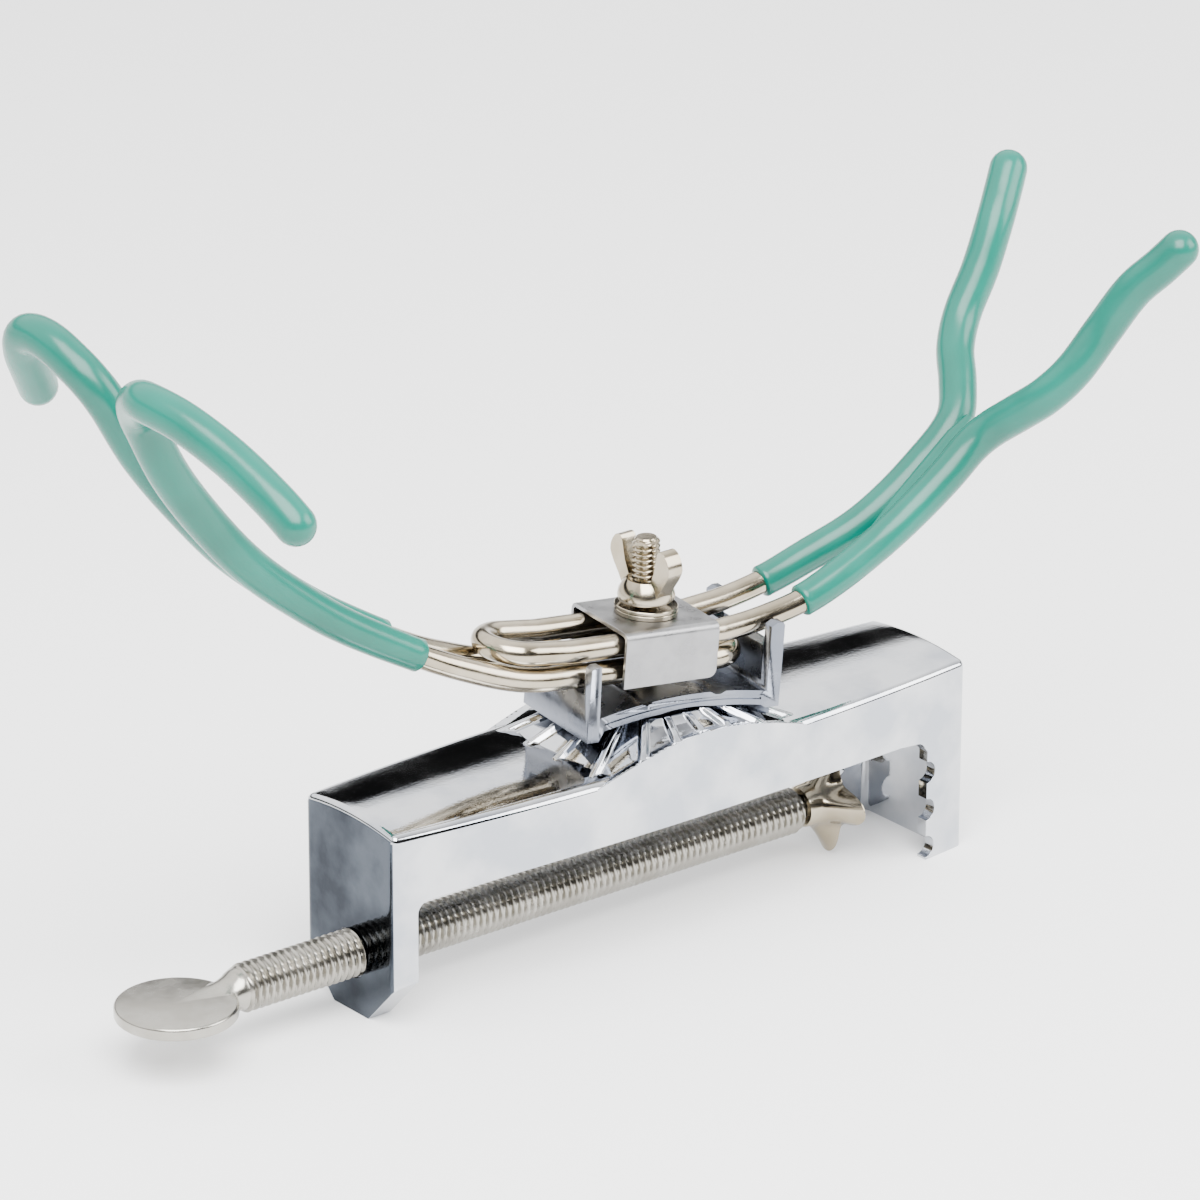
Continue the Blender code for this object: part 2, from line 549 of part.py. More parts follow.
def make_clamp_bracket(parent, stainless):
    """Folded sheet over both wires, with a hole for the bolt."""
    inner = BRACKET_INNER_HALF_WIDTH
    outer = inner + BRACKET_SHEET
    bottom = BRACKET_TOP - BRACKET_DROP
    bend = BRACKET_BEND
    outside = [(-outer, bottom)] + arc((-outer + bend, BRACKET_TOP - bend), bend, 180, 90, 3)
    outside += arc((outer - bend, BRACKET_TOP - bend), bend, 90, 0, 3) + [(outer, bottom)]
    tight = bend - BRACKET_SHEET
    inside = [(inner, bottom)] + arc((inner - tight, BRACKET_INNER_TOP - tight), tight, 0, 90, 3)
    inside += arc((-inner + tight, BRACKET_INNER_TOP - tight), tight, 90, 180, 3) + [(-inner, bottom)]
    middle = -tan(SADDLE_LEAN) * BRACKET_TOP
    sheet = extruded(outside + inside, 'X', middle - BRACKET_HALF_LENGTH, middle + BRACKET_HALF_LENGTH)
    bracket = add_object("clamp_bracket", sheet, stainless, parent)
    hole = turned([(0, BRACKET_INNER_TOP - 5), (BRACKET_HOLE_RADIUS, BRACKET_INNER_TOP - 5),
                   (BRACKET_HOLE_RADIUS, BRACKET_TOP + 5), (0, BRACKET_TOP + 5)], sides=20)
    bmesh.ops.translate(hole, vec=(middle, 0, 0), verts=hole.verts)
    combine(bracket, add_object("bracket_hole_tool", hole, parent=parent), 'DIFFERENCE')
    return bracket


# ---------------------------------------------------------------- wires and coats
def smooth_curve(points, steps=12):
    """Catmull-Rom curve through the points, sampled finely."""
    padded = [2 * points[0] - points[1]] + points + [2 * points[-1] - points[-2]]
    curve = []
    for a, b, c, d in zip(padded, padded[1:], padded[2:], padded[3:]):
        for i in range(steps):
            t = i / steps
            curve.append(0.5 * (2 * b + (c - a) * t + (2 * a - 5 * b + 4 * c - d) * t * t
                                + (3 * b - a - 3 * c + d) * t ** 3))
    return curve + [points[-1]]


def thin_out(curve, max_turn=radians(11), max_step=16.0):
    """Keep the points that a tube needs: more where it bends."""
    kept = [curve[0]]
    heading = (curve[1] - curve[0]).normalized()
    for here, after in zip(curve[1:], curve[2:]):
        direction = (after - here).normalized()
        if direction.angle(heading) > max_turn or (here - kept[-1]).length > max_step:
            kept.append(here)
            heading = direction
    if (curve[-1] - kept[-1]).length < 2.0 and len(kept) > 1:
        kept.pop()
    return kept + [curve[-1]]


def leg_curve(route, side):
    return thin_out(smooth_curve([Vector((x, side * half, z)) for x, half, z in route]))


def tube_frames(path):
    """Carry one pair of cross axes along the path without twist."""
    frames = []
    normal = None
    for i, point in enumerate(path):
        ahead = path[min(i + 1, len(path) - 1)]
        behind = path[max(i - 1, 0)]
        tangent = (ahead - behind).normalized()
        if normal is None:
            normal = Vector((0, 0, 1))
        normal = (normal - tangent * normal.dot(tangent)).normalized()
        frames.append((point, normal, tangent.cross(normal), tangent))
    return frames


def ring_on(frame, radius, ahead=0.0, sides=COAT_SIDES):
    point, normal, across, tangent = frame
    angles = [2 * pi * i / sides for i in range(sides)]
    return [point + tangent * ahead + (normal * cos(t) + across * sin(t)) * radius for t in angles]


def closed_end(x_outer, height, turn, rise=0.0):
    """Half circle that joins two legs; turn is +1 when it bulges to +X, rise is its upward slope to -X."""
    radius = WIRE_HALF_SPACING
    centre = x_outer - turn * (WIRE_RADIUS + radius)
    steps = 9
    points = []
    for i in range(steps + 1):
        t = radians(-90 + 180 * i / steps)
        x = centre + turn * radius * cos(t)
        points.append(Vector((x, radius * sin(t), height + rise * max(0.0, FORK_RISE_START - x))))
    if rise:
        points.insert(0, Vector((FORK_RISE_START, -radius, height)))
        points.append(Vector((FORK_RISE_START, radius, height)))
    return points


def shorten(path, length):
    """Cut a length off the end of a path."""
    path = list(path)
    while (path[-1] - path[-2]).length <= length:
        length -= (path[-1] - path[-2]).length
        path.pop()
    last = path[-1] - path[-2]
    path[-1] = path[-1] - last.normalized() * length
    return path


def make_wire(form, end, steel, parent):
    """U-bent wire: front leg from its tip, round the closed end, out along the back leg."""
    front = shorten(leg_curve(ROUTES[form + "_front"], -1), WIRE_SHORT_OF_TIP)
    back = shorten(leg_curve(ROUTES[form + "_back"], 1), WIRE_SHORT_OF_TIP)
    path = list(reversed(front)) + end + back
    bm = bmesh.new()
    frames = tube_frames(path)
    loft(bm, [ring_on(frame, WIRE_RADIUS) for frame in frames])
    return add_object(form + "_wire", bm, steel, parent)


def make_coat(form, place, start, pvc, parent):
    """Dipped coat as a sleeve: open at its mouth, round at its tip, the wire's bore inside."""
    path = leg_curve(ROUTES[form + "_" + place], -1 if place == "front" else 1)
    outward = 1 if form == "fork" else -1
    before = [p for p in path if p.x * outward < start * outward][-1]
    after = [p for p in path if p.x * outward >= start * outward]
    share = (start - before.x) / (after[0].x - before.x)
    mouth = before.lerp(after[0], share)
    if (after[0] - mouth).length < 1.5:
        after = after[1:]
    path = [before, mouth] + after
    frames = tube_frames(path)[1:]
    bore = WIRE_RADIUS + GAP
    inner = frames[:-1]
    tip_frame = frames[-1]
    bore_end = tip_frame[0] - tip_frame[3] * (WIRE_SHORT_OF_TIP - 1.0)
    loops = [ring_on((bore_end, *tip_frame[1:]), bore)]
    loops += [ring_on(frame, bore) for frame in reversed(inner)]
    loops += [ring_on(inner[0], COAT_MOUTH_RADIUS - 0.3), ring_on(inner[0], COAT_MOUTH_RADIUS, ahead=0.3)]
    run = 0.0
    for frame, last in zip(inner[1:], inner):
        run += (frame[0] - last[0]).length
        growth = min(1.0, run / COAT_TAPER)
        loops.append(ring_on(frame, COAT_MOUTH_RADIUS + (COAT_RADIUS - COAT_MOUTH_RADIUS) * growth))
    loops.append(ring_on(tip_frame, COAT_RADIUS, ahead=-COAT_RADIUS * 0.55))
    for angle in (30, 60):
        t = radians(angle)
        loops.append(ring_on(tip_frame, COAT_RADIUS * cos(t), ahead=COAT_RADIUS * (sin(t) - 0.55)))
    bm = bmesh.new()
    loft(bm, loops)
    return add_object(form + "_coat_" + place, bm, pvc, parent)


# ---------------------------------------------------------------- assembly
def stand_on_floor(root, pieces):
    """Move the root so that the assembly stands centred on the world origin."""
    bpy.context.view_layer.update()
    depsgraph = bpy.context.evaluated_depsgraph_get()
    corners = []
    for piece in pieces:
        evaluated = piece.evaluated_get(depsgraph)
        mesh = evaluated.to_mesh()
        corners += [evaluated.matrix_world @ vertex.co for vertex in mesh.vertices]
        evaluated.to_mesh_clear()
    low = [min(corner[i] for corner in corners) for i in range(3)]
    high = [max(corner[i] for corner in corners) for i in range(3)]
    root.location = (-(low[0] + high[0]) / 2, -(low[1] + high[1]) / 2, -low[2])


def main():
    remove_everything()
    chrome = make_material("bright_chrome", (0.80, 0.82, 0.84), 0.12, 1.0)
    satin_cast = make_material("satin_cast_chrome", (0.62, 0.64, 0.67), 0.32, 1.0)
    nickel = make_material("nickel_steel", (0.72, 0.68, 0.60), 0.22, 1.0)
    stainless = make_material("brushed_stainless", (0.70, 0.70, 0.70), 0.35, 1.0)
    pvc = make_material("turquoise_pvc", (0.02, 0.52, 0.42), 0.30, 0.0)

    root = add_empty("cradle_root")
    screw_axis = add_empty("screw_axis", root, (0, 0, SCREW_HEIGHT))
    saddle_frame = add_empty("saddle_frame", root, rotation=(0, SADDLE_LEAN, SADDLE_TURN))

    lock_bottom = BRACKET_TOP + SEAT_GAP
    flat_bottom = lock_bottom + LOCK_WASHER_THICKNESS + SEAT_GAP
    flat_top = flat_bottom + FLAT_WASHER_THICKNESS
    nut_bottom = flat_top / cos(SADDLE_LEAN) + NUT_HUB_RADIUS * tan(SADDLE_LEAN) + SEAT_GAP

    pieces = [
        make_clamp_body(root, chrome),
        make_clamp_bolt(root, nickel),
        make_clamp_screw(screw_axis, nickel),
        make_screw_pad(screw_axis, nickel),
        make_saddle(saddle_frame, root, satin_cast),
        make_wire("hook", closed_end(HOOK_CLOSED_END, HOOK_WIRE_HEIGHT, 1), nickel, saddle_frame),
        make_wire("fork", closed_end(FORK_CLOSED_END, FORK_WIRE_HEIGHT, -1, FORK_END_RISE), nickel, saddle_frame),
        make_clamp_bracket(saddle_frame, stainless),
        washer("lock_washer", lock_bottom, LOCK_WASHER_THICKNESS, nickel, saddle_frame),
        washer("flat_washer", flat_bottom, FLAT_WASHER_THICKNESS, nickel, saddle_frame),
        make_wing_nut(root, nickel, nut_bottom),
    ]
    for key, start in COAT_START.items():
        form, place = key.split("_")
        pieces.append(make_coat(form, place, start, pvc, saddle_frame))
    stand_on_floor(root, pieces)


main()
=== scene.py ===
"""Looks of the clamp-on cradle: chrome C-clamp, swivel saddle, bent wires with turquoise coats.

Sizes are millimetres in the clamp's own layout: the bolt's axis is X = Y = 0 and the beam's top edges are
at Z = 0. The saddle and what it carries have a layout of their own, turned and leaned on the same axis.
"""

from math import atan2, cos, pi, radians, sin, sqrt, tan

import bmesh
import bpy
from mathutils import Matrix, Vector


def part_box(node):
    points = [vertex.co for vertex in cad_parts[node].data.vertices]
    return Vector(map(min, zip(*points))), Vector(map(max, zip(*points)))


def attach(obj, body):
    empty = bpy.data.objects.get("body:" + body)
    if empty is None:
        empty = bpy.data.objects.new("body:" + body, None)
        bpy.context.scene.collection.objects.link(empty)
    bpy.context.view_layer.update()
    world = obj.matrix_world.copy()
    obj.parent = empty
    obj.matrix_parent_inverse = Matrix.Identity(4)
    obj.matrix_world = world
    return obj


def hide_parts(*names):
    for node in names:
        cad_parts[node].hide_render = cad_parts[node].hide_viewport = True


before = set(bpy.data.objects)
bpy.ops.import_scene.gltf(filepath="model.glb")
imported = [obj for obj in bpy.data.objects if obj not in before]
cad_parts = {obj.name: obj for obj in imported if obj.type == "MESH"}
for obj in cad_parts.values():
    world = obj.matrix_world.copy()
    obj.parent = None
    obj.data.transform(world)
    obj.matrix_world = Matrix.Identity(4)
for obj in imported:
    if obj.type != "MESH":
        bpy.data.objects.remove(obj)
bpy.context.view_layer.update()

# ---------------------------------------------------------------- clamp frame
# The frame is one zinc die casting, polished and chrome-plated: a barrel-shaped channel beam, a flat screw leg
# on the left, a jaw with scalloped flanges on the right, and a toothed crown under the swivel saddle.
FRAME_BOTTOM = -46.8
LEG_X = -83.8
LEG_THICKNESS = 6.1
JAW_X = 82.5
JAW_THICKNESS = 4.0
BEAM_MIDDLE = (LEG_X + JAW_X) / 2
BEAM_HALF_LENGTH = (JAW_X - LEG_X) / 2
END_HALF_WIDTH = 16.25
BARREL_BULGE = 5.26
TOP_CROWNING = 1.45
BEAM_EDGE = 1.6              # rounding of the beam's long edges
BEAM_DEPTH = 16.5
SIDE_RISE = 1.5              # the sides are this much shallower in the middle of the beam
WALL = 3.0
TOP_WALL = 3.5
THROAT_FILLET = 3.0
JAW_FLANGE = 8.5
SCALLOP_PITCH = 9.4
SCALLOP_RADIUS = 2.7
LOWEST_SCALLOP = 3.3         # above the foot
FOOT_HALF_WIDTH = 6.3
LEG_CHAMFER_RISE = 22.7
LEG_CHAMFER_REACH = 28.0
SCREW_Z = -32.9
SCREW_BORE_RADIUS = 5.8
CROWN_HEIGHT = 13.7
CROWN_SLOPE = 0.4
CROWN_FLAT_RADIUS = 14.0
CROWN_REACH = 30.5
CROWN_WALL = 3.7
CROWN_RIBS = 18
RIB_HALF_WIDTH = 1.15
RIB_FLANK = 0.5
RIB_HEIGHT = 1.15
VALLEY_DEPTH = 0.75
BOLT_RADIUS = 3.175
CASTING_EDGE = 0.45
BELOW = FRAME_BOTTOM - 15.0  # how far down the cutters reach
ACROSS = 30.0                # half the length of cutters that go right through

bolt_low, bolt_high = (Vector(corner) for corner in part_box("clamp_bolt"))
body_low = Vector(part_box("clamp_body")[0])
MM = 0.001
layout_origin = Vector(((bolt_low.x + bolt_high.x) / 2, (bolt_low.y + bolt_high.y) / 2,
                        body_low.z - FRAME_BOTTOM * MM))
FRAME_PLACE = Matrix.Translation(layout_origin) @ Matrix.Scale(MM, 4)


def make_piece(name, bm, place=FRAME_PLACE, material=None, smooth_angle=40.0):
    """Put a bmesh in its place in the frame and make it an object at the origin."""
    bmesh.ops.remove_doubles(bm, verts=bm.verts, dist=1e-4)
    bmesh.ops.recalc_face_normals(bm, faces=bm.faces)
    bm.transform(place)
    mesh = bpy.data.meshes.new(name)
    bm.to_mesh(mesh)
    bm.free()
    mesh.shade_smooth()
    mesh.set_sharp_from_angle(angle=radians(smooth_angle))
    piece = bpy.data.objects.new(name, mesh)
    bpy.context.collection.objects.link(piece)
    if material:
        mesh.materials.append(material)
    return piece


def settle(piece, smooth_angle=40.0):
    """Apply a piece's modifiers."""
    depsgraph = bpy.context.evaluated_depsgraph_get()
    mesh = bpy.data.meshes.new_from_object(piece.evaluated_get(depsgraph))
    old = piece.data
    piece.modifiers.clear()
    piece.data = mesh
    bpy.data.meshes.remove(old)
    mesh.shade_smooth()
    mesh.set_sharp_from_angle(angle=radians(smooth_angle))


def join_with(piece, tool, operation):
    """Exact Boolean with a tool piece, which is then removed."""
    modifier = piece.modifiers.new(operation, 'BOOLEAN')
    modifier.operation = operation
    modifier.solver = 'EXACT'
    modifier.object = tool
    settle(piece)
    bpy.data.objects.remove(tool)


def round_edges(piece, width, segments=2, angle=35.0):
    """Small radii on the sharp edges."""
    bevel = piece.modifiers.new("round", 'BEVEL')
    bevel.width = width * MM
    bevel.segments = segments
    bevel.limit_method = 'ANGLE'
    bevel.angle_limit = radians(angle)
    bevel.use_clamp_overlap = True
    bevel.harden_normals = True
    bevel.miter_outer = 'MITER_ARC'
    settle(piece)


def keep_flats_flat(piece):
    piece.modifiers.new("even_normals", 'WEIGHTED_NORMAL').keep_sharp = True


def slab(outline, axis, start, end):
    """Closed outline extruded along X, Y or Z; its points are the other two coordinates in order."""
    place = {'X': lambda a, b, c: (c, a, b),
             'Y': lambda a, b, c: (a, c, b),
             'Z': lambda a, b, c: (a, b, c)}[axis]
    bm = bmesh.new()
    face = bm.faces.new([bm.verts.new(place(a, b, start)) for a, b in outline])
    moved = bmesh.ops.extrude_face_region(bm, geom=[face])["geom"]
    shift = Vector(place(0, 0, end - start))
    bmesh.ops.translate(bm, vec=shift, verts=[v for v in moved if isinstance(v, bmesh.types.BMVert)])
    return bm


def turned(profile, sides=64, along_x=False):
    """(radius, height) profile spun about Z, or about X."""
    bm = bmesh.new()
    closed = profile[0] == profile[-1]
    verts = [bm.verts.new((radius, 0, height)) for radius, height in (profile[:-1] if closed else profile)]
    edges = [bm.edges.new(pair) for pair in zip(verts, verts[1:])]
    if closed:
        edges.append(bm.edges.new((verts[-1], verts[0])))
    bmesh.ops.spin(bm, geom=verts + edges, axis=(0, 0, 1), cent=(0, 0, 0), angle=2 * pi, steps=sides,
                   use_merge=True)
    if along_x:
        bmesh.ops.rotate(bm, cent=(0, 0, 0), matrix=Matrix.Rotation(radians(90), 3, 'Y'), verts=bm.verts)
    return bm


def arc(centre, radius, start_deg, end_deg, steps):
    angles = [radians(start_deg + (end_deg - start_deg) * i / steps) for i in range(steps + 1)]
    return [(centre[0] + radius * cos(t), centre[1] + radius * sin(t)) for t in angles]


def half_width(x):
    return END_HALF_WIDTH + BARREL_BULGE * (1 - ((x - BEAM_MIDDLE) / BEAM_HALF_LENGTH) ** 2)


def barrel_block(start, end, bottom, top, inset, corner, crowning):
    """Box with rounded long edges and ends, bulged sideways and crowned on top."""
    bm = bmesh.new()
    bmesh.ops.create_cube(bm, size=1.0)
    width = END_HALF_WIDTH - inset
    bmesh.ops.scale(bm, vec=(end - start, 2 * width, top - bottom), verts=bm.verts)
    bmesh.ops.translate(bm, vec=((start + end) / 2, 0, (top + bottom) / 2), verts=bm.verts)
    if corner:
        upright = [e for e in bm.edges if any(v.co.z > top - 1e-3 for v in e.verts)]
        bmesh.ops.bevel(bm, geom=upright, offset=corner, offset_type='OFFSET', affect='EDGES', segments=5,
                        profile=0.5, material=-1)
    stations = 44
    for i in range(1, stations):
        x = start + (end - start) * i / stations
        bmesh.ops.bisect_plane(bm, geom=bm.verts[:] + bm.edges[:] + bm.faces[:], plane_co=(x, 0, 0),
                               plane_no=(1, 0, 0))
    for i in range(-4, 5):
        y = width * i / 4.6
        bmesh.ops.bisect_plane(bm, geom=bm.verts[:] + bm.edges[:] + bm.faces[:], plane_co=(0, y, 0),
                               plane_no=(0, 1, 0))
    for vert in bm.verts:
        share = vert.co.y / width
        if vert.co.z > top - corner - 1e-3:
            vert.co.z += crowning * (1 - share ** 2)
        vert.co.y = share * (half_width(vert.co.x) - inset)
    return bm


def throat_outline():
    """Side view of the clamp's opening, with the scallops of the jaw."""
    inner = LEG_X + LEG_THICKNESS
    teeth = JAW_X - JAW_THICKNESS - JAW_FLANGE
    corner = (inner + THROAT_FILLET, -BEAM_DEPTH - THROAT_FILLET)
    points = [(inner, BELOW)] + arc(corner, THROAT_FILLET, 180, 90, 8)
    end = teeth - 3.6
    for i in range(1, 24):
        x = corner[0] + (end - corner[0]) * i / 24
        points.append((x, -BEAM_DEPTH + SIDE_RISE * (1 - (x / BEAM_HALF_LENGTH) ** 2)))
    points += arc((end, -BEAM_DEPTH - THROAT_FILLET), THROAT_FILLET, 90, 20, 4)
    points.append((teeth, -BEAM_DEPTH - THROAT_FILLET + 0.2))
    for row in (2, 1, 0):
        centre = (teeth, FRAME_BOTTOM + LOWEST_SCALLOP + row * SCALLOP_PITCH)
        points += arc(centre, SCALLOP_RADIUS, 90, -90, 12)
    points.append((teeth, BELOW))
    return points


def crown_blank():
    """Cone with flat-topped radial ribs; it is trimmed to the beam's outline afterwards."""
    outer = CROWN_REACH + 8.0
    foot = -3.0
    rings = 26
    profile = [(0, foot), (outer, foot)]
    for i in range(rings + 1):
        radius = outer + (CROWN_FLAT_RADIUS - outer) * i / rings
        profile.append((radius, CROWN_HEIGHT - CROWN_SLOPE * radius))
    profile.append((0, CROWN_HEIGHT - CROWN_SLOPE * CROWN_FLAT_RADIUS))
    bm = turned(profile, sides=CROWN_RIBS * 24)
    for vert in bm.verts:
        radius = sqrt(vert.co.x ** 2 + vert.co.y ** 2)
        if vert.co.z < foot + 0.1 or radius < CROWN_FLAT_RADIUS - 0.1:
            continue
        turn = (atan2(vert.co.y, vert.co.x) / (2 * pi) * CROWN_RIBS) % 1.0 - 0.5
        across = abs(turn) * 2 * pi * radius / CROWN_RIBS
        side = min(1.0, max(0.0, (RIB_HALF_WIDTH - across) / RIB_FLANK))
        rib = side * side * (3 - 2 * side)
        edge = min(1.0, max(0.0, half_width(vert.co.x) - 0.6 - abs(vert.co.y)))
        start = min(1.0, max(0.0, (radius - CROWN_FLAT_RADIUS) / 2))
        vert.co.z += (RIB_HEIGHT * rib - VALLEY_DEPTH) * start * edge
    return bm


block = barrel_block(LEG_X, JAW_X, FRAME_BOTTOM, 0.0, 0.0, BEAM_EDGE, TOP_CROWNING)
clamp_body = make_piece("cast_clamp_frame", block)
throat = slab(throat_outline(), 'Y', -ACROSS, ACROSS)
join_with(clamp_body, make_piece("throat", throat), 'DIFFERENCE')
channel = barrel_block(LEG_X + LEG_THICKNESS, JAW_X - JAW_THICKNESS, BELOW, -TOP_WALL, WALL, 1.5, 0.8)
join_with(clamp_body, make_piece("channel", channel), 'DIFFERENCE')
bore = turned([(0, LEG_X - 5), (SCREW_BORE_RADIUS, LEG_X - 5), (SCREW_BORE_RADIUS, LEG_X + 12),
               (0, LEG_X + 12)],
              along_x=True)
bmesh.ops.translate(bore, vec=(0, 0, SCREW_Z), verts=bore.verts)
join_with(clamp_body, make_piece("screw_bore", bore), 'DIFFERENCE')
for hand in (-1, 1):
    corner = [(hand * FOOT_HALF_WIDTH, FRAME_BOTTOM), (hand * FOOT_HALF_WIDTH, BELOW),
              (hand * LEG_CHAMFER_REACH, BELOW), (hand * LEG_CHAMFER_REACH, FRAME_BOTTOM + LEG_CHAMFER_RISE)]
    chamfer = slab(corner, 'X', LEG_X - 5, LEG_X + LEG_THICKNESS + 1)
    join_with(clamp_body, make_piece("leg_chamfer", chamfer), 'DIFFERENCE')
round_edges(clamp_body, CASTING_EDGE)

crown = make_piece("crown", crown_blank())
reach = [-CROWN_REACH + 2 * CROWN_REACH * i / 16 for i in range(17)]
plan = [(x, -half_width(x) + 0.02) for x in reach] + [(x, half_width(x) - 0.02) for x in reversed(reach)]
join_with(crown, make_piece("trim", slab(plan, 'Z', -ACROSS, ACROSS)), 'INTERSECT')
join_with(clamp_body, crown, 'UNION')
ceiling = CROWN_HEIGHT - CROWN_SLOPE * CROWN_FLAT_RADIUS - CROWN_WALL
room = half_width(0) - WALL - 1.0
hollow = [(0, ceiling), (CROWN_FLAT_RADIUS, ceiling), (room, ceiling - 1.4), (room, -8.5), (0, -8.5)]
join_with(clamp_body, make_piece("hollow", turned(hollow)), 'DIFFERENCE')
side = BOLT_RADIUS + 0.35
square = [(side, side), (-side, side), (-side, -side), (side, -side)]
join_with(clamp_body, make_piece("square_hole", slab(square, 'Z', 0, 20)), 'DIFFERENCE')
settle(clamp_body, 50.0)
keep_flats_flat(clamp_body)


def noise_bump_group():
    """Noise that serves as fine height for a bump or, when broad, as a mask; it can be drawn out along X."""
    group = bpy.data.node_groups.new("plating_waviness", 'ShaderNodeTree')
    for name, value in (("Scale", 300.0), ("Detail", 2.0), ("Stretch", 1.0)):
        socket = group.interface.new_socket(name, in_out='INPUT', socket_type='NodeSocketFloat')
        socket.default_value = value
    group.interface.new_socket("Height", in_out='OUTPUT', socket_type='NodeSocketFloat')
    nodes, links = group.nodes, group.links
    inside = nodes.new('NodeGroupInput')
    outside = nodes.new('NodeGroupOutput')
    place = nodes.new('ShaderNodeTexCoord')
    squeeze = nodes.new('ShaderNodeCombineXYZ')
    stretched = nodes.new('ShaderNodeVectorMath')
    stretched.operation = 'MULTIPLY'
    texture = nodes.new('ShaderNodeTexNoise')
    links.new(inside.outputs["Stretch"], squeeze.inputs["X"])
    squeeze.inputs["Y"].default_value = 1.0
    squeeze.inputs["Z"].default_value = 1.0
    links.new(place.outputs["Object"], stretched.inputs[0])
    links.new(squeeze.outputs[0], stretched.inputs[1])
    links.new(stretched.outputs[0], texture.inputs["Vector"])
    links.new(inside.outputs["Scale"], texture.inputs["Scale"])
    links.new(inside.outputs["Detail"], texture.inputs["Detail"])
    links.new(texture.outputs["Fac"], outside.inputs["Height"])
    return group


waviness = noise_bump_group()


def metal(name, colour, roughness, dark=None, patches=None, bumps=()):
    """Plated metal: two tones mixed by broad noise, roughness that varies, and stacked fine bumps.

    patches is (scale, lowest roughness, highest roughness); each bump is (scale, detail, stretch, strength).
    """
    material = bpy.data.materials.new(name)
    material.use_nodes = True
    nodes, links = material.node_tree.nodes, material.node_tree.links
    shader = nodes["Principled BSDF"]
    shader.inputs["Metallic"].default_value = 1.0
    shader.inputs["Roughness"].default_value = roughness
    shader.inputs["Base Color"].default_value = (*colour, 1.0)
    if dark or patches:
        broad = nodes.new('ShaderNodeGroup')
        broad.node_tree = waviness
        broad.inputs["Scale"].default_value = patches[0] if patches else 60.0
        broad.inputs["Detail"].default_value = 4.0
    if dark:
        tones = nodes.new('ShaderNodeValToRGB')
        tones.color_ramp.elements[0].position = 0.38
        tones.color_ramp.elements[0].color = (*dark, 1.0)
        tones.color_ramp.elements[1].position = 0.62
        tones.color_ramp.elements[1].color = (*colour, 1.0)
        links.new(broad.outputs["Height"], tones.inputs["Fac"])
        links.new(tones.outputs["Color"], shader.inputs["Base Color"])
    if patches:
        spread = nodes.new('ShaderNodeMapRange')
        spread.inputs["From Min"].default_value = 0.35
        spread.inputs["From Max"].default_value = 0.65
        spread.inputs["To Min"].default_value = patches[1]
        spread.inputs["To Max"].default_value = patches[2]
        links.new(broad.outputs["Height"], spread.inputs["Value"])
        links.new(spread.outputs["Result"], shader.inputs["Roughness"])
    last = None
    for scale, detail, stretch, strength in bumps:
        grain = nodes.new('ShaderNodeGroup')
        grain.node_tree = waviness
        grain.inputs["Scale"].default_value = scale
        grain.inputs["Detail"].default_value = detail
        grain.inputs["Stretch"].default_value = stretch
        bump = nodes.new('ShaderNodeBump')
        bump.inputs["Strength"].default_value = strength
        bump.inputs["Distance"].default_value = 0.0002
        links.new(grain.outputs["Height"], bump.inputs["Height"])
        if last:
            links.new(last.outputs["Normal"], bump.inputs["Normal"])
        last = bump
    if last:
        links.new(last.outputs["Normal"], shader.inputs["Normal"])
    return material


chrome = metal("bright_chrome", (0.56, 0.57, 0.59), 0.06, dark=(0.40, 0.42, 0.46), patches=(70.0, 0.03, 0.08),
               bumps=((260.0, 2.0, 0.25, 0.10), (1400.0, 3.0, 1.0, 0.05)))
# The leg's outer end face is the same chrome as the rest of the casting; its far darker blue-grey base colour is
# painted dark reflection, standing in for what that polished face mirrors.
end_face_painted_reflection = metal("end_face_painted_dark_reflection", (0.060, 0.070, 0.086), 0.10, dark=(0.018, 0.022, 0.030),
                   patches=(60.0, 0.06, 0.14), bumps=((120.0, 3.0, 1.0, 0.20), (900.0, 2.0, 1.0, 0.08)))
clamp_body.data.materials.clear()
clamp_body.data.materials.append(chrome)
clamp_body.data.materials.append(end_face_painted_reflection)
# the left end faces take the painted dark reflection
for face in clamp_body.data.polygons:
    if face.normal.x < -0.9 and (face.center - layout_origin).x < (LEG_X + 0.5) * MM:
        face.material_index = 1
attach(clamp_body, "frame")
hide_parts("clamp_body")

# ---------------------------------------------------------------- thumb screw
# Rolled steel rod with a coarse thread; its end is forged flat into a round paddle, its nose is peened
# over inside the claw pad. Bright nickel plate; the paddle's satin faces get no finish of their own.
SCREW_RADIUS = 5.555
SCREW_PITCH = 1.8143
THREAD_START = -113.9
THREAD_END = 44.6
PADDLE_X = -130.9
PADDLE_RADIUS = 13.7
PADDLE_THICKNESS = 3.0
PADDLE_EDGE = 0.7


def threaded_rod(radius, pitch, start, end, sides, chamfer, samples=8, depth_share=0.58):
    """Rod along Z with a right-hand thread pressed into its side; the ends are chamfered and closed."""
    count = int((end - start) / pitch * samples)
    side_line = [(radius, start + (end - start) * i / count) for i in range(count + 1)]
    bm = turned([(0, start)] + side_line + [(0, end)], sides=sides)
    depth = depth_share * pitch
    for vert in bm.verts:
        around = Vector((vert.co.x, vert.co.y))
        if around.length < radius * 0.5:
            continue
        turn = (vert.co.z / pitch - atan2(vert.co.y, vert.co.x) / (2 * pi)) % 1.0
        groove = min(1.0, max(0.0, (abs(turn - 0.5) * 2 - 0.14) / 0.72))
        cut = radius - depth * groove
        slope = radius - chamfer + min(vert.co.z - start, end - vert.co.z)
        scale = min(cut, slope) / radius
        vert.co.x *= scale
        vert.co.y *= scale
    return bm


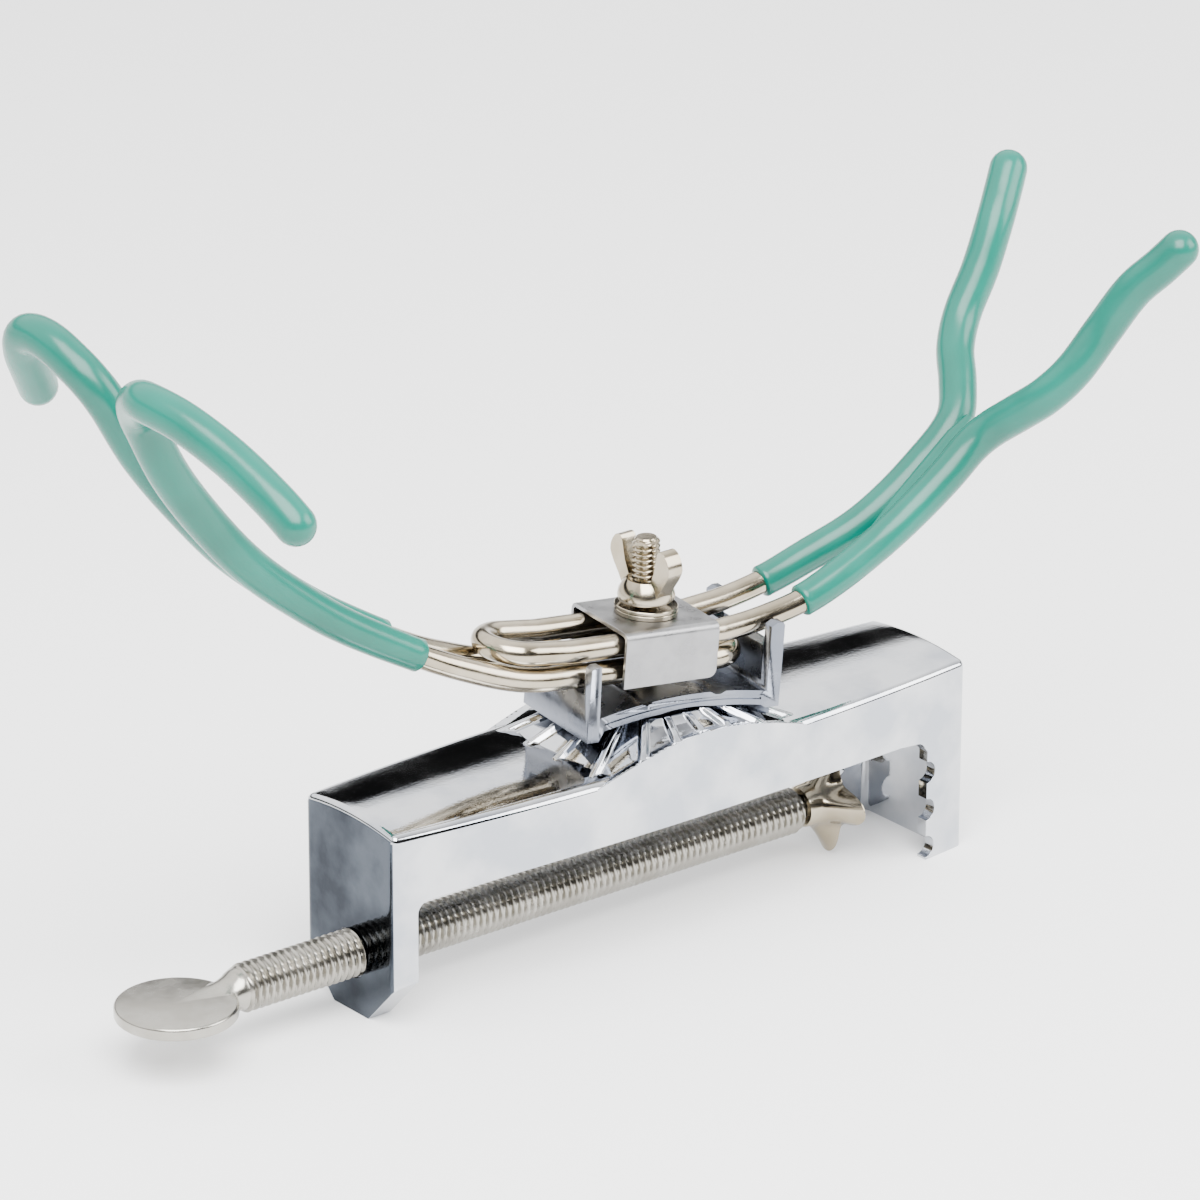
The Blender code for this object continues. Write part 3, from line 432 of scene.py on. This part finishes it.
rod = threaded_rod(SCREW_RADIUS, SCREW_PITCH, THREAD_START - 1.0, THREAD_END, 48, 1.2)
bmesh.ops.rotate(rod, cent=(0, 0, 0), matrix=Matrix.Rotation(radians(90), 3, 'Y'), verts=rod.verts)
bmesh.ops.translate(rod, vec=(0, 0, SCREW_Z), verts=rod.verts)
thumb_screw = make_piece("thumb_screw", rod)

nose = turned([(0, THREAD_END - 2), (3.0, THREAD_END - 2), (3.0, 51.3), (4.2, 51.3), (3.9, 52.2), (2.6, 52.9),
               (0, 53.1)], along_x=True)
bmesh.ops.translate(nose, vec=(0, 0, SCREW_Z), verts=nose.verts)
join_with(thumb_screw, make_piece("nose", nose), 'UNION')

# where the rod is forged flat, as (x, half width, half thickness)
sections = [(-112.9, 4.6, 4.6), (-114.6, 4.9, 4.9), (-115.8, 4.6, 4.4), (-117.0, 4.3, 3.4), (-118.4, 4.4, 2.6),
            (-120.4, 5.4, 1.9), (-123.4, 7.4, 1.45)]
neck = turned([(0, sections[0][0])] + [(1, x) for x, wide, thick in sections] + [(0, sections[-1][0])],
              sides=40, along_x=True)
for vert in neck.verts:
    wide, thick = min((abs(vert.co.x - x), (wide, thick)) for x, wide, thick in sections)[1]
    vert.co.y *= wide
    vert.co.z = vert.co.z * thick + SCREW_Z
join_with(thumb_screw, make_piece("neck", neck), 'UNION')

flat = PADDLE_THICKNESS / 2 - PADDLE_EDGE
rim_centre = PADDLE_RADIUS - PADDLE_EDGE
paddle = turned([(0, -PADDLE_THICKNESS / 2)] + arc((rim_centre, -flat), PADDLE_EDGE, -90, 0, 5)
                + arc((rim_centre, flat), PADDLE_EDGE, 0, 90, 5) + [(0, PADDLE_THICKNESS / 2)], sides=96)
bmesh.ops.translate(paddle, vec=(PADDLE_X, 0, SCREW_Z), verts=paddle.verts)
join_with(thumb_screw, make_piece("paddle", paddle), 'UNION')

nickel = metal("nickel_plate", (0.42, 0.37, 0.285), 0.14, dark=(0.32, 0.275, 0.20),
               patches=(90.0, 0.12, 0.24), bumps=((600.0, 2.0, 1.0, 0.08),))
screw_nickel = metal("screw_nickel", (0.38, 0.365, 0.33), 0.22, dark=(0.31, 0.295, 0.26),
                     patches=(160.0, 0.20, 0.28))
thumb_screw.data.materials.append(screw_nickel)
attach(thumb_screw, "screw")
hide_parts("clamp_screw")

# ---------------------------------------------------------------- claw pad
# Pressed steel cup with four bent claws; it swivels on the screw's peened nose and bites into the rail.
PAD_BACK = 46.0
CUP_RADIUS = 5.3
CLAW_ROOT_RADIUS = 7.4
CLAW_TIP_RADIUS = 13.4

cup = [(3.3, PAD_BACK), (4.6, PAD_BACK), (4.9, PAD_BACK + 0.4), (5.1, 49.0), (6.6, 50.4), (9.0, 52.2),
       (11.3, 53.7), (CLAW_TIP_RADIUS, 54.8), (CLAW_TIP_RADIUS, 55.0), (10.9, 54.6), (8.6, 53.4), (6.6, 52.0),
       (5.6, 51.2), (3.3, 51.0), (3.3, PAD_BACK)]
claw_pad_mesh = turned(cup, sides=96)
for vert in claw_pad_mesh.verts:
    radius = Vector((vert.co.x, vert.co.y)).length
    if radius < CUP_RADIUS:
        continue
    claw = abs(cos(2 * atan2(vert.co.y, vert.co.x))) ** 2.4
    reach_here = CLAW_ROOT_RADIUS + (CLAW_TIP_RADIUS - CLAW_ROOT_RADIUS) * claw
    stretch = CUP_RADIUS + (radius - CUP_RADIUS) * (reach_here - CUP_RADIUS) / (CLAW_TIP_RADIUS - CUP_RADIUS)
    vert.co.x *= stretch / radius
    vert.co.y *= stretch / radius
bmesh.ops.rotate(claw_pad_mesh, cent=(0, 0, 0), matrix=Matrix.Rotation(radians(90), 3, 'Y'),
                 verts=claw_pad_mesh.verts)
bmesh.ops.translate(claw_pad_mesh, vec=(0, 0, SCREW_Z), verts=claw_pad_mesh.verts)
claw_pad = make_piece("claw_pad", claw_pad_mesh, material=nickel)
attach(claw_pad, "pad")
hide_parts("screw_pad")

# ---------------------------------------------------------------- swivel bolt
# Quarter-inch carriage bolt: its domed head and square neck sit in the crown, its thread stands up through
# saddle, bracket and washers into the wing nut.
BOLT_PITCH = 1.27
BOLT_TOP = 45.8
THREAD_BOTTOM = 24.0
HEAD_RADIUS = 7.5
HEAD_EDGE = 1.0
HEAD_DOME = 2.6

bolt_thread = threaded_rod(BOLT_RADIUS, BOLT_PITCH, THREAD_BOTTOM, BOLT_TOP, 40, 0.9)
swivel_bolt = make_piece("swivel_bolt", bolt_thread)
seat = ceiling - 0.3
head = [(0, seat - HEAD_EDGE - HEAD_DOME)]
for angle in range(15, 91, 15):
    head.append((HEAD_RADIUS * sin(radians(angle)), seat - HEAD_EDGE - HEAD_DOME * cos(radians(angle))))
head += [(HEAD_RADIUS, seat), (BOLT_RADIUS - 0.3, seat), (BOLT_RADIUS - 0.3, THREAD_BOTTOM + 0.5),
         (0, THREAD_BOTTOM + 0.5)]
join_with(swivel_bolt, make_piece("head", turned(head)), 'UNION')
side = BOLT_RADIUS - 0.02
neck_square = slab([(side, side), (-side, side), (-side, -side), (side, -side)], 'Z', seat - 1, seat + 3)
join_with(swivel_bolt, make_piece("square_neck", neck_square), 'UNION')
swivel_bolt.data.materials.append(nickel)
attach(swivel_bolt, "frame")
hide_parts("clamp_bolt")

# ---------------------------------------------------------------- swivel saddle
# Die casting with a dull chrome plate: an arched plate over the crown, a low wall on the left and a high one on
# the right, each with two posts that keep the wires between them. The bolt clamps it down.
LEAN = radians(4.5)
TURN = radians(-7.5)
SADDLE_PLACE = (Matrix.Translation(layout_origin) @ Matrix.Rotation(TURN, 4, 'Z')
                @ Matrix.Rotation(LEAN, 4, 'Y') @ Matrix.Scale(MM, 4))
SADDLE_LEFT = -24.2
SADDLE_RIGHT = 26.4
SADDLE_HALF = 14.0
SADDLE_RIM = 2.8
LEFT_INNER = SADDLE_LEFT + 2.9
RIGHT_INNER = SADDLE_RIGHT - 3.5
LEFT_BOTTOM = 3.6
LEFT_POST_TOP = 21.5
RIGHT_BOTTOM = 6.0
RIGHT_POST_TOP = 26.2
ARCH_TOP = 11.9
ARCH_FALL = 0.0047           # per square millimetre from the middle
ARCH_MIDDLE = 3.0
PLATE = 3.4
DISH_DEPTH = 0.5
CORNER_FILL = 2.2            # how far the dish climbs the end walls
BEAD_GAP_DEPTH = 0.35
BOLT_HOLE_RADIUS = 4.75
SADDLE_EDGE = 0.3
WIRE_RADIUS = 2.8
HOOK_WIRE_Z = 17.2


def arch(below, stations=32):
    """Top line of the arched plate, lowered by a given amount."""
    xs = [LEFT_INNER + (RIGHT_INNER - LEFT_INNER) * i / stations for i in range(stations + 1)]
    return [(x, ARCH_TOP - ARCH_FALL * (x - ARCH_MIDDLE) ** 2 - below) for x in xs]


def small_step(x):
    """Depth of the two short notches in the rims."""
    return 0.7 if abs(x + 9.0) < 1.0 or abs(x - 9.5) < 1.0 else 0.0


outline = [(SADDLE_LEFT, LEFT_BOTTOM), (SADDLE_LEFT, LEFT_POST_TOP - 0.6), (SADDLE_LEFT + 1.0, LEFT_POST_TOP),
           (LEFT_INNER - 0.4, LEFT_POST_TOP)]
outline += [(x, z - small_step(x)) for x, z in arch(0.0)]
outline += [(RIGHT_INNER, RIGHT_POST_TOP - 0.8), (RIGHT_INNER + 1.4, RIGHT_POST_TOP),
            (SADDLE_RIGHT - 0.5, RIGHT_POST_TOP), (SADDLE_RIGHT, RIGHT_POST_TOP - 0.7),
            (SADDLE_RIGHT, RIGHT_BOTTOM), (RIGHT_INNER, RIGHT_BOTTOM)]
outline += list(reversed(arch(PLATE)))[1:-1] + [(LEFT_INNER, LEFT_BOTTOM)]
swivel_saddle = make_piece("swivel_saddle", slab(outline, 'Y', -SADDLE_HALF, SADDLE_HALF), SADDLE_PLACE)
flat = CROWN_HEIGHT - CROWN_SLOPE * CROWN_FLAT_RADIUS + 0.7
wide = 45.0
under = [(0, flat), (CROWN_FLAT_RADIUS, flat), (wide, flat - CROWN_SLOPE * (wide - CROWN_FLAT_RADIUS)),
         (wide, -20), (0, -20)]
join_with(swivel_saddle, make_piece("underside", turned(under, sides=128)), 'DIFFERENCE')
left_seat = HOOK_WIRE_Z - WIRE_RADIUS - 0.1
right_seat = HOOK_WIRE_Z + WIRE_RADIUS
dish = []
for x, z in arch(DISH_DEPTH):
    climb = max(0.0, 1 - (x - LEFT_INNER) / 3) ** 2 + max(0.0, 1 - (RIGHT_INNER - x) / 3) ** 2
    dish.append((x, z + CORNER_FILL * climb))
cavity = ([(LEFT_INNER, left_seat)] + dish
          + [(RIGHT_INNER, right_seat), (40, right_seat), (40, 35), (-40, 35), (-40, left_seat)])
inner = SADDLE_HALF - SADDLE_RIM
join_with(swivel_saddle, make_piece("cavity", slab(cavity, 'Y', -inner, inner), SADDLE_PLACE), 'DIFFERENCE')
for hand in (-1, 1):
    line = [point for point in arch(1.55) if LEFT_INNER + 1 < point[0] < RIGHT_INNER - 1]
    groove = line + [(x, z - 0.55) for x, z in reversed(line)]
    bead_gap = slab(groove, 'Y', hand * (SADDLE_HALF - BEAD_GAP_DEPTH), hand * (SADDLE_HALF + 1.0))
    join_with(swivel_saddle, make_piece("bead_gap", bead_gap, SADDLE_PLACE), 'DIFFERENCE')
hole = turned([(0, 0), (BOLT_HOLE_RADIUS, 0), (BOLT_HOLE_RADIUS, 30), (0, 30)])
bmesh.ops.translate(hole, vec=(-tan(LEAN) * 10.6, 0, 0), verts=hole.verts)
join_with(swivel_saddle, make_piece("bolt_hole", hole, SADDLE_PLACE), 'DIFFERENCE')
round_edges(swivel_saddle, SADDLE_EDGE)
keep_flats_flat(swivel_saddle)
satin_cast = metal("satin_cast_chrome", (0.23, 0.245, 0.28), 0.26, dark=(0.16, 0.175, 0.21),
                   patches=(120.0, 0.20, 0.36), bumps=((700.0, 3.0, 1.0, 0.25),))
swivel_saddle.data.materials.append(satin_cast)
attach(swivel_saddle, "swivel")
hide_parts("saddle")

# ---------------------------------------------------------------- wire forms
# Two steel rods, each bent to a long U and then upwards, plated in bright nickel. The lower one
# carries the hooks, the upper one the fork.
HALF_SPACING = 7.3
FORK_WIRE_Z = HOOK_WIRE_Z + 2 * WIRE_RADIUS + 0.6
HOOK_CLOSED_END = 22.3
FORK_CLOSED_END = -46.2
HOOK_STEM = [
    (-18.0, HALF_SPACING, HOOK_WIRE_Z), (-27.0, HALF_SPACING, 17.5), (-34.0, 7.2, 17.7), (-41.0, 7.0, 18.8),
    (-49.8, 6.2, 21.3), (-62.3, 5.0, 25.9), (-81.9, 5.0, 35.3), (-95.0, 4.9, 43.3), (-107.8, 4.9, 52.8),
    (-119.0, 5.2, 64.0), (-129.3, 6.9, 76.3), (-136.7, 8.6, 88.1), (-140.6, 11.5, 93.8),
]
FORK_STEM = [
    (13.0, HALF_SPACING, FORK_WIRE_Z), (23.2, 7.4, 25.0), (34.5, 7.6, 28.1), (44.8, 7.0, 32.8),
    (56.4, 5.4, 39.0), (65.5, 4.9, 45.6), (73.5, 4.9, 52.8), (79.6, 4.95, 59.2), (83.4, 7.0, 63.6), (86.8, 12.5, 69.0),
]
ROUTES = {
    "hook_front": HOOK_STEM + [(-143.9, 18.0, 98.2), (-145.0, 25.0, 99.8), (-141.4, 34.0, 98.0),
                               (-136.0, 45.0, 93.0), (-131.8, 56.0, 87.2), (-128.4, 63.0, 81.8)],
    "hook_back": HOOK_STEM + [(-143.6, 16.5, 97.7), (-145.3, 20.5, 99.6), (-146.4, 24.5, 100.1),
                              (-147.0, 28.0, 99.3), (-146.3, 31.0, 96.7), (-143.9, 34.5, 92.5),
                              (-139.7, 39.0, 86.8), (-134.9, 44.0, 80.4)],
    "fork_front": FORK_STEM + [(90.0, 18.2, 74.6), (94.4, 21.8, 81.4), (100.0, 23.8, 90.9),
                               (104.5, 27.3, 100.7), (108.7, 31.5, 107.4), (112.6, 35.0, 113.7)],
    "fork_back": FORK_STEM + [(90.0, 19.0, 74.6), (94.4, 23.6, 81.2), (100.0, 26.0, 90.8),
                              (104.5, 28.4, 100.6), (108.7, 31.9, 107.3), (112.6, 35.4, 113.6)],
}


def smooth_leg(key, steps=10):
    """Smooth curve through a leg's points, on the front (-Y) or back (+Y) side."""
    hand = -1 if key.endswith("front") else 1
    points = [Vector((x, hand * half, z)) for x, half, z in ROUTES[key]]
    padded = [2 * points[0] - points[1]] + points + [2 * points[-1] - points[-2]]
    curve = []
    for a, b, c, d in zip(padded, padded[1:], padded[2:], padded[3:]):
        for i in range(steps):
            t = i / steps
            curve.append(0.5 * (2 * b + (c - a) * t + (2 * a - 5 * b + 4 * c - d) * t * t
                                + (3 * b - a - 3 * c + d) * t ** 3))
    return curve + [points[-1]]


def swept(name, path, radii, material, resolution=8):
    """Round tube along a path, as thick at each point as its radius says."""
    curve = bpy.data.curves.new(name, 'CURVE')
    curve.dimensions = '3D'
    curve.bevel_depth = 1.0
    curve.bevel_resolution = resolution
    curve.use_fill_caps = True
    curve.twist_mode = 'MINIMUM'
    spline = curve.splines.new('POLY')
    spline.points.add(len(path) - 1)
    for point, where, radius in zip(spline.points, path, radii):
        point.co = (*where, 1.0)
        point.radius = radius
    rope = bpy.data.objects.new(name + "_path", curve)
    bpy.context.collection.objects.link(rope)
    depsgraph = bpy.context.evaluated_depsgraph_get()
    mesh = bpy.data.meshes.new_from_object(rope.evaluated_get(depsgraph))
    bm = bmesh.new()
    bm.from_mesh(mesh)
    bpy.data.objects.remove(rope)
    bpy.data.meshes.remove(mesh)
    return make_piece(name, bm, SADDLE_PLACE, material)


def wire_form(form, closed_x, height, rise=0.0, rise_start=-27.0):
    """Front leg from its tip, round the closed end, out along the back leg."""
    turn = 1 if closed_x > 0 else -1
    centre = closed_x - turn * (WIRE_RADIUS + HALF_SPACING)
    bend = []
    for a in range(-90, 91, 6):
        x = centre + turn * HALF_SPACING * cos(radians(a))
        bend.append(Vector((x, HALF_SPACING * sin(radians(a)), height + rise * max(0.0, rise_start - x))))
    if rise:
        knees = [Vector((rise_start, side * HALF_SPACING, height)) for side in (-1, 1)]
        bend = knees[:1] + bend + knees[1:]
    path = list(reversed(smooth_leg(form + "_front")[:-6])) + bend + smooth_leg(form + "_back")[:-6]
    return swept(form + "_wire_form", path, [WIRE_RADIUS] * len(path), nickel)


hook_wire = wire_form("hook", HOOK_CLOSED_END, HOOK_WIRE_Z)
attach(hook_wire, "hooks")
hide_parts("hook_wire")
fork_wire = wire_form("fork", FORK_CLOSED_END, FORK_WIRE_Z, rise=0.085)
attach(fork_wire, "fork")
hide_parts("fork_wire")

# ---------------------------------------------------------------- dipped coats
# Soft turquoise PVC, dipped over each leg: a slight bead at the mouth, a round tip, and a smooth, glossy skin
# that shows a little waviness.
MOUTH_RADIUS = 3.75
COAT_RADIUS = 4.5
COAT_START = {"hook_front": -62.3, "hook_back": -66.0, "fork_front": 33.7, "fork_back": 33.0}


def pvc_material():
    material = bpy.data.materials.new("turquoise_pvc")
    material.use_nodes = True
    nodes, links = material.node_tree.nodes, material.node_tree.links
    shader = nodes["Principled BSDF"]
    shader.inputs["Roughness"].default_value = 0.26
    shader.inputs["Specular IOR Level"].default_value = 0.4
    tint = nodes.new('ShaderNodeGroup')
    tint.node_tree = waviness
    tint.inputs["Scale"].default_value = 45.0
    tones = nodes.new('ShaderNodeValToRGB')
    tones.color_ramp.elements[0].position = 0.35
    tones.color_ramp.elements[0].color = (0.0, 0.105, 0.075, 1.0)
    tones.color_ramp.elements[1].position = 0.65
    tones.color_ramp.elements[1].color = (0.0, 0.135, 0.098, 1.0)
    skin = nodes.new('ShaderNodeGroup')
    skin.node_tree = waviness
    skin.inputs["Scale"].default_value = 240.0
    bump = nodes.new('ShaderNodeBump')
    bump.inputs["Strength"].default_value = 0.12
    bump.inputs["Distance"].default_value = 0.0004
    links.new(tint.outputs["Height"], tones.inputs["Fac"])
    links.new(tones.outputs["Color"], shader.inputs["Base Color"])
    links.new(skin.outputs["Height"], bump.inputs["Height"])
    links.new(bump.outputs["Normal"], shader.inputs["Normal"])
    return material


turquoise = pvc_material()


def coat_radius(run):
    """Skin thickness grows from the mouth towards the tip, as dipping leaves it."""
    first = min(1.0, run / 12.0)
    rest = min(1.0, max(0.0, (run - 12.0) / 58.0))
    return MOUTH_RADIUS + 0.2 * first + (COAT_RADIUS - MOUTH_RADIUS - 0.2) * rest


def dipped_coat(key, start):
    """Coat from its mouth to just past the wire's end, closed by a round tip."""
    outward = 1 if key.startswith("fork") else -1
    path = [p for p in smooth_leg(key) if p.x * outward >= start * outward or p.z > 70]
    length = [0.0]
    for a, b in zip(path, path[1:]):
        length.append(length[-1] + (b - a).length)
    total = length[-1] + COAT_RADIUS * 0.45
    tip = (path[-1] - path[-2]).normalized()
    dome_from = path[-1] + tip * (total - COAT_RADIUS - length[-1])
    lead = (path[1] - path[0]).normalized()
    points = [path[0] - lead * 0.3, path[0] - lead * 0.1, path[0] + lead * 0.25]
    radii = [MOUTH_RADIUS - 0.6, MOUTH_RADIUS - 0.2, MOUTH_RADIUS + 0.05]
    for point, run in zip(path, length):
        if 0.6 < run < total - COAT_RADIUS - 0.3:
            points.append(point)
            radii.append(coat_radius(run))
    for angle in (0, 15, 30, 45, 58, 70, 80, 87):
        points.append(dome_from + tip * COAT_RADIUS * sin(radians(angle)))
        radii.append(COAT_RADIUS * cos(radians(angle)))
    return swept(key.replace("_", "_dipped_coat_"), points, radii, turquoise, resolution=10)


# where the fork's legs part, the dip fills the gap between them
web_path = [Vector((x, 0, z)) for x, half, z in FORK_STEM[4:-1]]
web_radii = [0.4, 2.7, 3.4, 3.4, 2.2]
for key, start in COAT_START.items():
    form, place = key.split("_")
    coat = dipped_coat(key, start)
    if key == "fork_front":
        join_with(coat, swept("fork_web", web_path, web_radii, turquoise), 'UNION')
    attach(coat, "hooks" if form == "hook" else "fork")
    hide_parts(form + "_coat_" + place)

# ---------------------------------------------------------------- bracket
# Stainless strip folded over both wires, brushed across its width. The bolt and its nut press it down.
BRACKET_HALF_LENGTH = 12.2
SHEET = 1.0
BRACKET_INNER_TOP = FORK_WIRE_Z + WIRE_RADIUS + 0.3
BRACKET_TOP = BRACKET_INNER_TOP + SHEET
BRACKET_INNER = 11.2
BRACKET_OUTER = BRACKET_INNER + SHEET
BRACKET_DROP = 13.0
BRACKET_HOLE_RADIUS = 4.1
bend = 1.8
bottom = BRACKET_TOP - BRACKET_DROP
outside = ([(-BRACKET_OUTER, bottom)] + arc((-BRACKET_OUTER + bend, BRACKET_TOP - bend), bend, 180, 90, 8)
           + arc((BRACKET_OUTER - bend, BRACKET_TOP - bend), bend, 90, 0, 8) + [(BRACKET_OUTER, bottom)])
tight = bend - SHEET
inside = ([(BRACKET_INNER, bottom)] + arc((BRACKET_INNER - tight, BRACKET_INNER_TOP - tight), tight, 0, 90, 8)
          + arc((-BRACKET_INNER + tight, BRACKET_INNER_TOP - tight), tight, 90, 180, 8)
          + [(-BRACKET_INNER, bottom)])
middle = -tan(LEAN) * BRACKET_TOP
strip = slab(outside + inside, 'X', middle - BRACKET_HALF_LENGTH, middle + BRACKET_HALF_LENGTH)
corners = [e for e in strip.edges if all(v.co.z < bottom + 0.01 and v.co.x > middle for v in e.verts)
           and abs(e.verts[0].co.x - e.verts[1].co.x) < 0.01]
bmesh.ops.bevel(strip, geom=corners, offset=2.0, offset_type='OFFSET', affect='EDGES', segments=8, profile=0.5,
                material=-1)
strap = make_piece("wire_strap", strip, SADDLE_PLACE)
hole = turned([(0, 20), (BRACKET_HOLE_RADIUS, 20), (BRACKET_HOLE_RADIUS, 35), (0, 35)])
bmesh.ops.translate(hole, vec=(middle, 0, 0), verts=hole.verts)
join_with(strap, make_piece("strap_hole", hole, SADDLE_PLACE), 'DIFFERENCE')
round_edges(strap, 0.12)
keep_flats_flat(strap)
brushed = metal("brushed_stainless", (0.32, 0.32, 0.325), 0.30, dark=(0.26, 0.26, 0.265),
                patches=(200.0, 0.26, 0.40), bumps=((500.0, 3.0, 8.0, 0.20),))
strap.data.materials.append(brushed)
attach(strap, "bracket")
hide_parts("clamp_bracket")

# ---------------------------------------------------------------- washers
# A lock washer below a flat washer, both stamped from steel and nickel-plated, lying on the strap.
WASHER_RADIUS = 7.3
WASHER_EDGE = 0.15
for name, node, low, thickness in (("split_washer", "lock_washer", BRACKET_TOP + 0.05, 1.15),
                                   ("flat_washer_ring", "flat_washer", BRACKET_TOP + 1.3, 0.85)):
    inner = BOLT_RADIUS + 0.45
    high = low + thickness
    profile = [(inner, low), (WASHER_RADIUS - WASHER_EDGE, low), (WASHER_RADIUS, low + WASHER_EDGE),
               (WASHER_RADIUS, high - WASHER_EDGE), (WASHER_RADIUS - WASHER_EDGE, high), (inner, high),
               (inner, low)]
    ring_mesh = turned(profile, sides=96)
    bmesh.ops.translate(ring_mesh, vec=(-tan(LEAN) * (low + thickness / 2), 0, 0), verts=ring_mesh.verts)
    washer = make_piece(name, ring_mesh, SADDLE_PLACE, nickel)
    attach(washer, "bracket")
    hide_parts(node)

# ---------------------------------------------------------------- wing nut
# Forged wing nut, nickel-plated: a round hub with two flat upright wings.
NUT_BOTTOM = BRACKET_TOP + 3.2
WING_THICKNESS = 4.0
hub = [(0, 0), (5.8, 0), (6.4, 0.4), (6.6, 1.4), (6.3, 2.8), (5.4, 4.4), (4.5, 5.3), (0, 5.5)]
wing_nut = make_piece("thumb_nut", turned([(radius, NUT_BOTTOM + height) for radius, height in hub]))
# a wing's outline, as (distance from the axis, height over the hub's foot)
shape = [(3.4, 1.0), (5.2, 1.2), (6.4, 2.6), (7.6, 4.6), (9.2, 6.8), (10.2, 8.6), (10.5, 9.6), (10.3, 11.0),
         (9.6, 12.4), (8.7, 13.5), (7.6, 13.9), (6.8, 13.8), (6.2, 13.0), (5.8, 11.2), (5.2, 8.4), (3.4, 4.4)]
for hand in (-1, 1):
    wing = slab([(hand * a, NUT_BOTTOM + b) for a, b in shape], 'X', -WING_THICKNESS / 2, WING_THICKNESS / 2)
    join_with(wing_nut, make_piece("wing", wing), 'UNION')
bore = turned([(0, 20), (BOLT_RADIUS + 0.1, 20), (BOLT_RADIUS + 0.1, 50), (0, 50)], sides=40)
join_with(wing_nut, make_piece("nut_bore", bore), 'DIFFERENCE')
round_edges(wing_nut, 0.7, segments=3)
keep_flats_flat(wing_nut)
wing_nut.data.materials.append(nickel)
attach(wing_nut, "nut")
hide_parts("wing_nut")

# ---------------------------------------------------------------- floor, light and camera
# Plain pale studio: white floor and two large soft lights. The world has a dark band at the height that the
# crowned top mirrors, and its front is shaded, so bright metal shows contrast; the camera sees it plain.
floor_mesh = bmesh.new()
bmesh.ops.create_grid(floor_mesh, x_segments=1, y_segments=1, size=3.0)
floor_data = bpy.data.meshes.new("studio_floor")
floor_mesh.to_mesh(floor_data)
floor_mesh.free()
floor = bpy.data.objects.new("studio_floor", floor_data)
bpy.context.collection.objects.link(floor)
floor_paint = bpy.data.materials.new("pale_floor")
floor_paint.use_nodes = True
floor_paint.node_tree.nodes["Principled BSDF"].inputs["Base Color"].default_value = (0.92, 0.92, 0.92, 1.0)
floor_paint.node_tree.nodes["Principled BSDF"].inputs["Roughness"].default_value = 0.7
floor_data.materials.append(floor_paint)

world = bpy.data.worlds.new("studio")
bpy.context.scene.world = world
world.use_nodes = True
wn, wl = world.node_tree.nodes, world.node_tree.links
background = wn["Background"]
background.inputs["Strength"].default_value = 3.0
direction = wn.new('ShaderNodeTexCoord')
split = wn.new('ShaderNodeSeparateXYZ')
bands = wn.new('ShaderNodeValToRGB')
wl.new(direction.outputs["Object"], split.inputs[0])
wl.new(split.outputs["Z"], bands.inputs["Fac"])
stops = [(0.0, 0.85), (0.16, 0.90), (0.22, 0.004), (0.36, 0.004), (0.42, 0.90), (0.80, 1.0)]
ramp = bands.color_ramp
ramp.elements[0].position, ramp.elements[1].position = stops[0][0], stops[-1][0]
ramp.elements[0].color = (stops[0][1],) * 3 + (1.0,)
ramp.elements[1].color = (stops[-1][1],) * 3 + (1.0,)
for position, level in stops[1:-1]:
    ramp.elements.new(position).color = (level, level, level, 1.0)
seen = wn.new('ShaderNodeLightPath')
plain = wn.new('ShaderNodeMixRGB')
plain.inputs["Color2"].default_value = (0.95, 0.95, 0.95, 1.0)
wl.new(seen.outputs["Is Camera Ray"], plain.inputs["Fac"])
front = wn.new('ShaderNodeMapRange')
front.inputs["From Min"].default_value = -0.75
front.inputs["From Max"].default_value = 0.3
front.inputs["To Min"].default_value = 0.06
front.inputs["To Max"].default_value = 1.0
shaded = wn.new('ShaderNodeMixRGB')
shaded.blend_type = 'MULTIPLY'
shaded.inputs["Fac"].default_value = 1.0
wl.new(split.outputs["Y"], front.inputs["Value"])
wl.new(bands.outputs["Color"], shaded.inputs["Color1"])
wl.new(front.outputs["Result"], shaded.inputs["Color2"])
wl.new(shaded.outputs["Color"], plain.inputs["Color1"])
wl.new(plain.outputs["Color"], background.inputs["Color"])

for name, place, size, power in (("key", (-0.5, -0.7, 1.3), 1.2, 75.0), ("fill", (0.9, -0.9, 0.8), 0.9, 26.0)):
    lamp_data = bpy.data.lights.new(name, 'AREA')
    lamp_data.energy = power
    lamp_data.size = size
    lamp = bpy.data.objects.new(name, lamp_data)
    lamp.location = place
    lamp.rotation_euler = (Vector((0, 0, 0.08)) - Vector(place)).to_track_quat('-Z', 'Y').to_euler()
    bpy.context.collection.objects.link(lamp)

AZIMUTH = radians(-38.66)
ELEVATION = radians(21.84)
EYE = Vector((-892.4, -1098.9, 597.7))
ROLL = radians(-0.14)
back = Vector((sin(AZIMUTH) * cos(ELEVATION), -cos(AZIMUTH) * cos(ELEVATION), sin(ELEVATION)))
right = Vector((cos(AZIMUTH), sin(AZIMUTH), 0))
up = back.cross(right)
right, up = right * cos(ROLL) - up * sin(ROLL), right * sin(ROLL) + up * cos(ROLL)
camera_data = bpy.data.cameras.new("camera")
camera_data.lens = 203.27
camera_data.sensor_width = 36.0
camera_data.clip_start = 0.05
camera = bpy.data.objects.new("camera", camera_data)
facing = Matrix((right, up, back)).transposed().to_4x4()
camera.matrix_world = Matrix.Translation(layout_origin + EYE * 0.001) @ facing
bpy.context.collection.objects.link(camera)
bpy.context.scene.camera = camera
